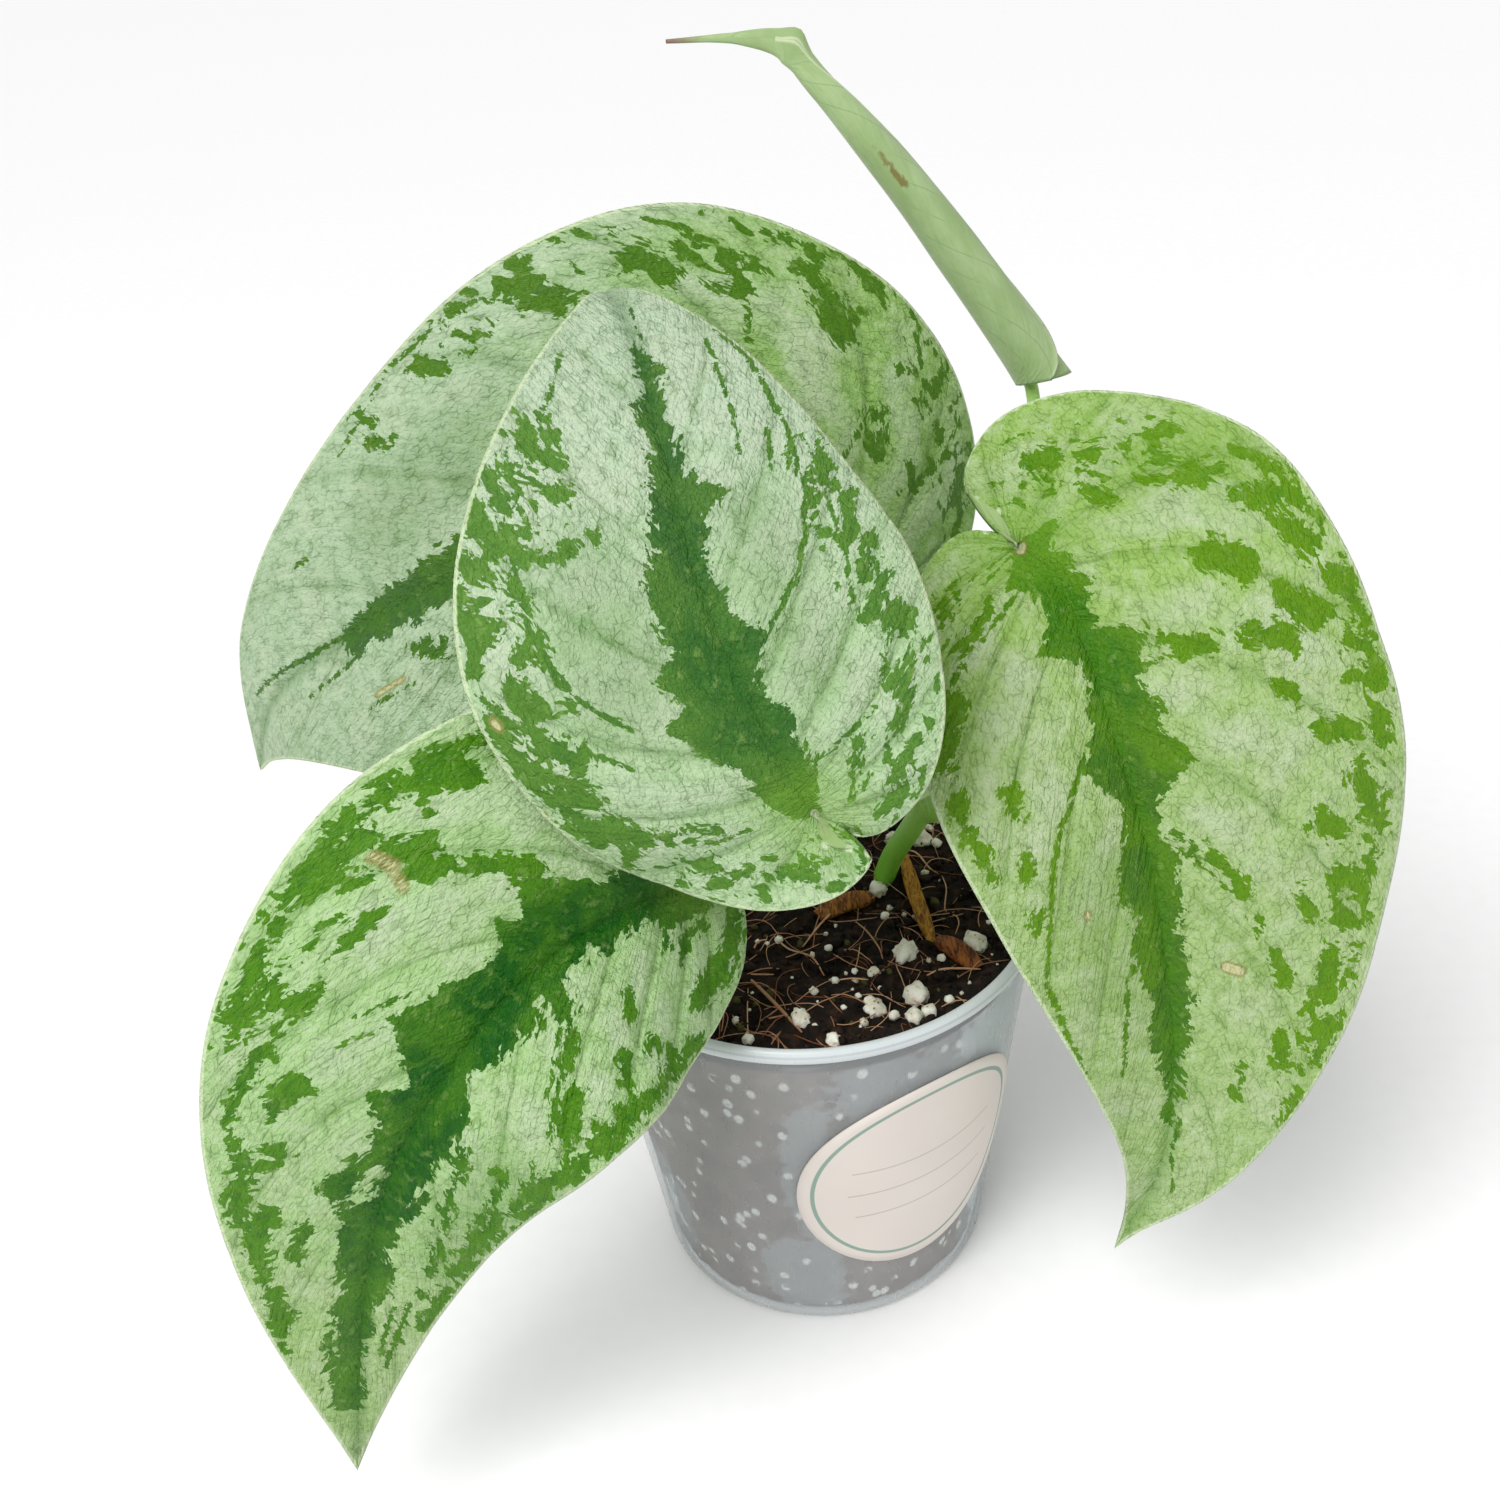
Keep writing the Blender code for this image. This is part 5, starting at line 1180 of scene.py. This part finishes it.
def soil_body(heap):
    """The block of mix: its floor, its side against the cup and its crumbly top."""
    sides, reach = SOIL_SIDES, CUP_WALL + SOIL_GAP - 0.12
    rings = [(cup_wall_radius(2.0) - reach - 1.4, SOIL_FLOOR)]
    rings += [(cup_wall_radius(h) - reach, h) for h in np.linspace(2.4, SOIL_TOP - 0.6, SIDE_RINGS)]
    points = [(0, 0, SOIL_FLOOR)]
    for level, (radius, height) in enumerate(rings):
        for a in circle(sides):
            here = Vector((radius * math.cos(a), radius * math.sin(a), height))
            dent = 0.5 * max(0, noise.noise(here / 5.0)) + 0.25 * abs(noise.noise(here / 1.6)) if level else 0
            points.append(((radius - dent) * math.cos(a), (radius - dent) * math.sin(a), height))
    edge = cup_wall_radius(SOIL_TOP) - reach
    for ring in range(TOP_RINGS):
        radius = edge * (1 - ring / TOP_RINGS)
        for a in circle(sides):
            x, y = radius * math.cos(a), radius * math.sin(a)
            points.append((x, y, min(crumbly_height(x, y), SOIL_TOP + 1.6) if ring else SOIL_TOP - 0.3))
    points.append((0, 0, crumbly_height(0, 0)))
    count, faces = len(rings) + TOP_RINGS, []
    for k in range(sides):
        n = (k + 1) % sides
        faces.append((0, 1 + n, 1 + k))
        for ring in range(count - 1):
            a, b = 1 + ring * sides, 1 + (ring + 1) * sides
            faces.append((a + k, a + n, b + n, b + k))
        last = 1 + (count - 1) * sides
        faces.append((last + k, last + n, len(points) - 1))
    heap.add(points, faces, CRUMB, 0.35)
    # On the side, the tone holds how strongly the light in the gaps is painted there.
    for k, (x, y, z) in enumerate(points[:1 + len(rings) * sides]):
        bearing = math.degrees(math.atan2(x, -y))
        heap.tones[k] = max(strong - ((bearing - b) / wide) ** 2 - ((z - h) / high) ** 2
                            for b, h, wide, high, strong in GAPS)


def perlite_places(draw):
    """The grains that the front shows, and more drawn at random over the rest of the top."""
    places = [(x, y, r) for x, y, r in SEEN_PERLITE]
    while len(places) < len(SEEN_PERLITE) + MORE_PERLITE:
        reach, a, r = 33 * math.sqrt(draw.random()), 2 * math.pi * draw.random(), draw.uniform(1.0, 2.2)
        x, y = reach * math.cos(a), reach * math.sin(a)
        near_stem = math.hypot(x - STEM_PATH[1][0], y - STEM_PATH[1][1]) < r + STEM_RADIUS + 1.6
        in_view = -14 < x < 34 and y < 20
        clear = all(math.hypot(x - u, y - v) > r + s + 0.6 for u, v, s in places)
        if clear and not near_stem and not in_view:
            places.append((x, y, r))
    return places


def on_top(draw, widest):
    """A place drawn at random on the top of the mix."""
    reach, a = widest * math.sqrt(draw.random()), 2 * math.pi * draw.random()
    return reach * math.cos(a), reach * math.sin(a)


def scatter_grains(heap, draw):
    ball, small = round_template(3), round_template(2)
    for k, (x, y, r) in enumerate(perlite_places(draw)):
        sizes = [r * draw.uniform(0.85, 1.15) for _ in range(3)]
        place = (x, y, soil_height(x, y) + 0.25 * r)
        grain = lump(ball, place, sizes, draw.uniform(0, 3), 0.42, k + 1.0, 2.2)
        heap.add(*grain, PERLITE, draw.uniform(0.3, 1))
    for k, (x, y, r) in enumerate(SMALL_PERLITE):
        place = (x, y, soil_height(x, y) + 0.5 + 0.2 * r)
        grain = lump(small, place, (r, 0.85 * r, 0.9 * r), k, 0.4, k + 60.0, 2.0)
        heap.add(*grain, PERLITE, 0.8 - 0.03 * k)
    for k in range(FINE_GRAINS):
        x, y = on_top(draw, 36.0)
        r = 0.25 + 0.55 * draw.random() ** 2
        place = (x, y, crumbly_height(x, y) + 0.1)
        grain = lump(small, place, (r, 0.8 * r, 0.9 * r), k, 0.4, k + 90.0, 2.0)
        heap.add(*grain, PERLITE, draw.random())
    crumb = round_template(1)
    for k in range(CRUMBS):
        x, y = on_top(draw, 36.3)
        r = 0.35 + 0.9 * draw.random() ** 2
        sizes = (r * draw.uniform(0.8, 1.6), r, r * draw.uniform(0.6, 1.0))
        place = (x, y, crumbly_height(x, y) + 0.1)
        heap.add(*lump(crumb, place, sizes, draw.uniform(0, 6), 0.7, k + 200.0), CRUMB, draw.random())


def laid(route, steps):
    """A smooth path laid on the mix, from (x, y, height off it) points."""
    points = [(x, y, soil_height(x, y) + lift) for x, y, lift in route]
    return smooth_path(points, np.linspace(0, 1, steps))[0]


def bark_strip(heap, route, width, depth, tone, seed):
    """A splinter of bark or wood: a flat bar along a route, with tapered ends and a stringy surface."""
    steps, sides = 26, 14
    path, points = laid(route, steps), []
    for i, here in enumerate(path):
        ahead = Vector(path[min(i + 1, steps - 1)] - path[max(i - 1, 0)]).normalized()
        across = ahead.cross(Vector((0, 0, 1))).normalized()
        up = across.cross(ahead)
        taper = math.sin(math.pi * min(max(i / (steps - 1), 0.04), 0.96)) ** 0.25
        for a in circle(sides):
            cosine, sine = math.cos(a), math.sin(a)
            string = 1 + 0.28 * noise.noise(Vector((2.2 * cosine, 2.2 * sine, 0.35 * i / 5 + seed)))
            x = math.copysign(abs(cosine) ** 0.6, cosine) * width / 2 * taper * string
            z = math.copysign(abs(sine) ** 0.7, sine) * depth / 2 * taper * string
            points.append(Vector(here) + across * x + up * z)
    heap.add(points, capped_tube(steps, sides), BARK, tone)


def scatter_fibres(heap, draw):
    """Fine roots and coir strands that lie on the mix and arch a little off it."""
    for tone, radius, *route in SEEN_ROOTS:
        radii = [radius * (1 - 0.5 * abs(i / 7.5 - 1) ** 3) for i in range(16)]
        heap.tube(laid(route, 16), radii, FIBRE, tone)
    for _ in range(STRANDS):
        x, y = on_top(draw, 34.5)
        heading, turn, length = draw.uniform(0, 6.3), draw.uniform(-0.24, 0.24), draw.uniform(4, 14)
        lift, tone, radius = draw.uniform(0.4, 1.5), draw.random(), draw.uniform(0.05, 0.10)
        path = []
        for i in range(9):
            high = soil_height(x, y) + 0.25 + lift * math.sin(math.pi * i / 8)
            if math.hypot(x, y) < 36.2:
                path.append((x, y, high))
            heading += turn + draw.uniform(-0.18, 0.18)
            x, y = x + length / 8 * math.cos(heading), y + length / 8 * math.sin(heading)
        if len(path) > 3:
            heap.tube(path, [radius] * len(path), FIBRE, tone, sides=5)


def soil_mix():
    """Dark crumbs with brown fibres; on the side pressed against the cup, flecks, and painted light in the
    gaps.
    """
    n = Nodes("potting_mix")
    place, tone = n.place(), n.attribute("tone")
    clod = n.noise(place, 0.0024, 3.0, 0.6)
    fibre = n.noise(place, (0.0004, 0.0016, 0.0008), 3.0, 0.7, 1.2)
    dark = n.mix(tone, SHADES["crumb_black"], SHADES["crumb_brown"])
    colour = n.paint(dark, SHADES["clod"], clod, 0.46, 0.70, 0.8)
    colour = n.paint(colour, SHADES["peat_fibre"], fibre, 0.60, 0.76, 0.5)
    colour = n.paint(colour, SHADES["moss"], tone, 0.91, 0.94, 0.7)
    slope = (CUP_SHOULDER_RADIUS - CUP_BASE_RADIUS) / CUP_HEIGHT
    height = n.split(place, 2)
    wall = n.math("MULTIPLY_ADD", height, slope, (CUP_BASE_RADIUS - CUP_WALL - 1.6) * MM)
    side = n.times(n.step(n.math("SUBTRACT", axis_reach(n, place), wall), 0.0, 0.5 * MM),
                  n.step(height, (SOIL_TOP - 0.3) * MM, (SOIL_TOP - 1.2) * MM))
    patch = n.noise(place, 0.006, 4.0, 0.65)
    pressed = n.mix(n.step(patch, 0.3, 0.7), SHADES["pressed_dark"], SHADES["pressed_pale"])
    # Painted light: the gaps between the mix and the cup are painted paler, as the light that comes into
    # them.
    gap = n.math("ADD", tone, n.spread(patch, 1.5))
    pressed = n.paint(pressed, SHADES["gap_edge_painted_light"], gap, 0.0, 0.12, 0.6)
    pressed = n.paint(pressed, SHADES["gap_painted_light"], gap, 0.62, 0.85, 0.85)
    fleck = n.cells(place, (0.0036, 0.0036, 0.0048))
    white = n.times(n.step(fleck, 0.30, 0.18), n.step(clod, 0.36, 0.50))
    pressed = n.mix(n.times(white, 0.95), pressed, SHADES["fleck_white"])
    colour = n.mix(side, colour, pressed)
    normal = n.bump(n.noise(place, 0.0005, 3.0, 0.7), 0.3, 0.8)
    return n.done(n.surface(colour, 0.88, normal, Specular_IOR_Level=0.25))


def perlite_stone():
    n = Nodes("perlite")
    place, tone = n.place(), n.attribute("tone")
    patch = n.noise(place, 0.0016, 3.0, 0.6)
    colour = n.mix(n.step(patch, 0.35, 0.7), SHADES["perlite_white"], SHADES["perlite_cream"])
    colour = n.paint(colour, SHADES["perlite_tan"], tone, 0.4, 0.0, 0.5)
    pit = n.cells(place, 0.00085)
    pits = n.times(n.step(pit, 0.26, 0.14), n.step(patch, 0.45, 0.6))
    colour = n.mix(n.times(pits, 0.8), colour, SHADES["pit"])
    fine = n.noise(place, 0.0003, 3.0, 0.6)
    normal = n.bump(n.math("SUBTRACT", fine, pits), 0.18, 0.7)
    return n.done(n.surface(colour, 0.8, normal, Specular_IOR_Level=0.3))


def bark_wood():
    n = Nodes("bark")
    place, tone = n.place(), n.attribute("tone")
    grain = n.noise(place, (0.0006, 0.0028, 0.0009), 4.0, 0.65, 0.8)
    light = n.mix(tone, SHADES["bark_light"], SHADES["wood_light"])
    colour = n.mix(n.step(grain, 0.36, 0.62), n.mix(tone, SHADES["bark_dark"], SHADES["wood_dark"]), light)
    normal = n.bump(grain, 0.5, 0.8)
    return n.done(n.surface(colour, 0.75, normal, Specular_IOR_Level=0.25))


def root_fibre():
    n = Nodes("root_fibre")
    place, tone = n.place(), n.attribute("tone")
    patch = n.noise(place, 0.002, 2.0)
    colour = n.mix(tone, SHADES["root_dark"], SHADES["root_pale"])
    colour = n.paint(colour, SHADES["root_rust"], patch, 0.4, 0.7, 0.5)
    return n.done(n.surface(colour, 0.6, n.bump(patch, 0.05, 0.5), Specular_IOR_Level=0.3))


def make_soil():
    draw = np.random.default_rng(4)
    # The part draws 200 numbers for its top before it draws its grains.
    draw.uniform(-1, 1, 200)
    heap = Heap()
    soil_body(heap)
    scatter_grains(heap, draw)
    for k, (route, width, depth, tone) in enumerate(BARK_STRIPS):
        bark_strip(heap, route, width, depth, tone, 2.0 * k)
    scatter_fibres(heap, draw)
    soil = heap.piece("potting_soil", [soil_mix(), perlite_stone(), bark_wood(), root_fibre()])
    stands_for(soil, "soil")


def melted(heap, name, voxel, rounds, materials):
    """The solids of a heap grown into one smooth body."""
    body = mesh_piece(name, heap.points, heap.faces, materials)
    remesh = body.modifiers.new("remesh", "REMESH")
    remesh.mode, remesh.voxel_size, remesh.use_smooth_shade = "VOXEL", voxel * MM, True
    smooth = body.modifiers.new("smooth", "SMOOTH")
    smooth.factor, smooth.iterations = 0.5, rounds
    apply_modifiers(body)
    body.data.materials.clear()
    for made in materials:
        body.data.materials.append(made)
    return body


def stalk_routes():
    """The middle lines and radii of the stem and of the five leaf stalks."""
    stem, _ = smooth_path(STEM_PATH, np.linspace(0, 1, STEM_STEPS))
    lines = [(stem, [STEM_RADIUS] * STEM_STEPS)]
    routes = []
    for blade in BLADES.values():
        base, face = np.array(blade["midrib"][0], float), blade_frames(blade)[3][0]
        routes.append([FORK, *blade["stalk"], tuple(base - STALK_REACH * face), tuple(base - 0.25 * face)])
    base, (ahead, slant) = Vector(SPEAR_PATH[0]), spear_base()
    normal = (ahead + SPEAR_CUT * slant).normalized()
    end = base + SPEAR_STALK_SIDE - SPEAR_STALK_SIDE.dot(normal) * normal + 0.6 * normal
    routes.append([FORK, *SPEAR_STALK, tuple(end - (SPEAR_STALK_REACH + 0.8) * normal), tuple(end)])
    for route in routes:
        points, _ = smooth_path(route, np.linspace(0, 1, STALK_STEPS))
        last = STALK_STEPS - 1
        sheath = [STALK_RADIUS + 0.55 * max(0, 1 - 2.2 * k / last) for k in range(STALK_STEPS)]
        radii = [r + (STALK_TIP_RADIUS - STALK_RADIUS) * k / last for k, r in enumerate(sheath)]
        lines.append((points, radii))
    return lines


def stalk_skin():
    """Olive green with fine pale streaks along the stalk, paler clouds and flecks, and brighter at the soil.
    """
    n = Nodes("stalk_skin")
    line = n.attribute("line", "Vector")
    place = n.place()
    streak = n.noise(line, (0.35, 9.0, 0.5), 3.0, 0.6)
    cloud = n.noise(line, (3.0, 7.0, 2.0), 2.0)
    colour = n.mix(n.step(streak, 0.3, 0.7), SHADES["stalk_olive"], SHADES["stalk_pale"])
    colour = n.paint(colour, SHADES["stalk_cloud"], cloud, 0.45, 0.7, 0.5)
    colour = n.paint(colour, SHADES["stalk_foot"], n.split(place, 2), 0.094, 0.070, 0.85)
    fleck = n.cells(line, (0.5, 0.8, 0.5))
    colour = n.paint(colour, SHADES["stalk_fleck"], fleck, 0.24, 0.12, 0.35)
    normal = n.bump(streak, 0.12, 0.6)
    return n.done(n.surface(colour, 0.42, normal, Specular_IOR_Level=0.42, Subsurface_Weight=0.12,
                            Subsurface_Radius=(0.0012, 0.0016, 0.0006)))


def make_stem():
    heap, lines = Heap(), stalk_routes()
    for points, radii in lines:
        heap.tube(points, radii, 0, 0.5, sides=20)
    ball = round_template(3)
    for place, sizes in ((FORK, (3.1, 3.0, 3.6)), (FORK_SHEATH, (3.0, 2.7, 4.8))):
        knot = [Vector(place) + Vector([c * s for c, s in zip(point, sizes)]) for point in ball[0]]
        heap.add(knot, ball[1], 0, 0.5)
    stem = melted(heap, "stem_with_stalks", STEM_VOXEL, STEM_SMOOTHING, [stalk_skin()])
    found = np.array([vertex.co[:] for vertex in stem.data.vertices]) / MM
    middles = np.concatenate([points for points, _ in lines])
    numbers = np.concatenate([np.full(len(points), k) for k, (points, _) in enumerate(lines)])
    along = np.concatenate([np.r_[0, np.cumsum(np.linalg.norm(np.diff(points, axis=0), axis=1))]
                            for points, _ in lines])
    nearest = np.concatenate([((found[i:i + 500, None] - middles[None]) ** 2).sum(2).argmin(1)
                              for i in range(0, len(found), 500)])
    away = found - middles[nearest]
    around = 1.8 * np.arctan2(away[:, 1], away[:, 0] + 0.3 * away[:, 2])
    keep(stem, "line", np.stack([around, along[nearest], 4.0 * numbers[nearest]], 1))
    stands_for(stem, "stem_and_stalks")


def spear_base():
    """The spear's heading at its base, and the way its slanted cut runs down."""
    ahead = (Vector(SPEAR_PATH[1]) - Vector(SPEAR_PATH[0])).normalized()
    return ahead, (SPEAR_CUT_SIDE - SPEAR_CUT_SIDE.dot(ahead) * ahead).normalized()


def rolled_skin():
    """Pale grey-green with fine slanting veins, a pale rolled edge, a brown scar and a brown drip tip."""
    n = Nodes("rolled_leaf_skin")
    roll = n.attribute("roll", "Vector")
    around, along = n.split(roll, 0), n.split(roll, 1)
    shifted = n.add("VectorMath", {0: roll, 1: (0, 0.55, 0)}, operation="ADD")
    lean = n.math("MULTIPLY_ADD", around, ROLL_VEIN_LEAN, along)
    turns = n.math("FRACT", n.math("DIVIDE", lean, ROLL_VEIN_SPACING))
    vein_line = n.math("ABSOLUTE", n.math("SUBTRACT", turns, 0.5))
    cloud = n.noise(roll, (5.0, 12.0), 3.0)
    streak = n.noise(shifted, (0.5, 3.4), 3.0, 0.6)
    colour = n.mix(n.step(cloud, 0.35, 0.65), SHADES["roll_dark"], SHADES["roll_pale"])
    colour = n.paint(colour, SHADES["roll_streak"], streak, 0.45, 0.75, 0.4)
    veins = n.times(n.step(vein_line, 0.035, 0.012), n.step(cloud, 0.42, 0.55))
    colour = n.mix(n.times(veins, 0.5), colour, SHADES["roll_vein"])
    edge = n.attribute("seam")
    colour = n.paint(colour, SHADES["roll_edge"], n.math("ABSOLUTE", edge), 0.45, 0.15, 0.85)
    ragged = n.spread(n.noise(roll, (0.8, 1.2), 3.0), 1.1)
    scar = n.math("ADD", n.attribute("scar"), ragged)
    colour = n.paint(colour, SHADES["roll_scar"], scar, -0.1, 0.25, 0.9)
    colour = n.paint(colour, SHADES["roll_scar_heart"], scar, 0.35, 0.6, 0.7)
    colour = n.mix(n.step(n.attribute("tip"), 0.92, 1.0), colour, SHADES["roll_tip"])
    normal = n.bump(n.noise(shifted, (0.8, 5.0), 3.0), 0.25, 0.5)
    normal = n.bump(veins, 0.06, -0.6, normal)
    normal = n.bump(scar, 0.3, 0.4, normal)
    face = n.surface(colour, 0.45, normal, Specular_IOR_Level=0.38, Sheen_Weight=0.1)
    return n.lit_through(face, colour, SHADES["light_through_roll"], 0.12)


def make_spear():
    """A rolled sheet: each section is a spiral whose free edge stands a little proud as a seam."""
    steps, sides = SPEAR_STEPS, SPEAR_SIDES
    shares = np.linspace(0, 1, steps).tolist()
    path, length = smooth_path(SPEAR_PATH, shares)
    widths = np.interp(shares, *zip(*SPEAR_WIDTH)).tolist()
    flats = np.interp(shares, *zip(*SPEAR_FLATNESS)).tolist()
    heading, slant = spear_base()
    points, roll, seams, scars, tips, side = [], [], [], [], [], Vector((0.2, -0.8, 0.5))
    for i in range(steps):
        low, high = path[max(i - 2, 0)], path[min(i + 2, steps - 1)]
        ahead = Vector(high - low).normalized()
        side = (side - side.dot(ahead) * ahead).normalized()
        other = ahead.cross(side)
        seam = SPEAR_SEAM * min(1, widths[i] / 3) * max(0, 1 - 1.1 * shares[i])
        start = math.radians(np.interp(shares[i], *zip(*SPEAR_SEAM_TURN)))
        for k in range(sides):
            turn = k / (sides - 1)
            lip = 0.35 * math.exp(-((1 - turn) * 2 * math.pi * widths[i] / 0.5) ** 2)
            reach = widths[i] - seam * (1 - turn) ** 1.5 + min(lip, seam)
            a = 2 * math.pi * turn * (1 - 1 / sides * (seam == 0)) + start
            out = reach * (flats[i] * math.cos(a) * side + math.sin(a) * other)
            crest = math.exp(-((shares[i] - SPEAR_BEND) / 0.018) ** 2)
            out += SPEAR_CREST * crest * max(0, out.normalized().dot(SPEAR_CREST.normalized())) ** 3
            slip = -SPEAR_CUT * out.dot(slant) * max(0, 1 - i / 8)
            points.append(Vector(path[i]) + out + slip * heading)
            roll.append((widths[i] * 2 * math.pi * turn, length * shares[i], 0))
            seams.append(min(turn, 1 - turn) * 2 * math.pi * widths[i] + (0 if seam > 0.05 else 3))
            tips.append(shares[i])
    scar_from, scar_to = SPEAR_SCAR
    run = scar_to - scar_from
    for point in points:
        share = min(max((point - scar_from).dot(run) / run.length_squared, 0), 1)
        scars.append(SPEAR_SCAR_WIDTH - (point - scar_from.lerp(scar_to, share)).length)
    faces = capped_tube(steps, sides)
    spear = mesh_piece("rolled_new_leaf", points, faces, [rolled_skin()])
    for key, values in (("roll", roll), ("seam", seams), ("scar", scars), ("tip", tips)):
        keep(spear, key, values)
    stands_for(spear, "leaf_rolled")


look_at_photo()
make_studio()
make_pot()
make_label()
make_soil()
make_stem()
for leaf_name in BLADES:
    make_leaf(leaf_name)
make_spear()
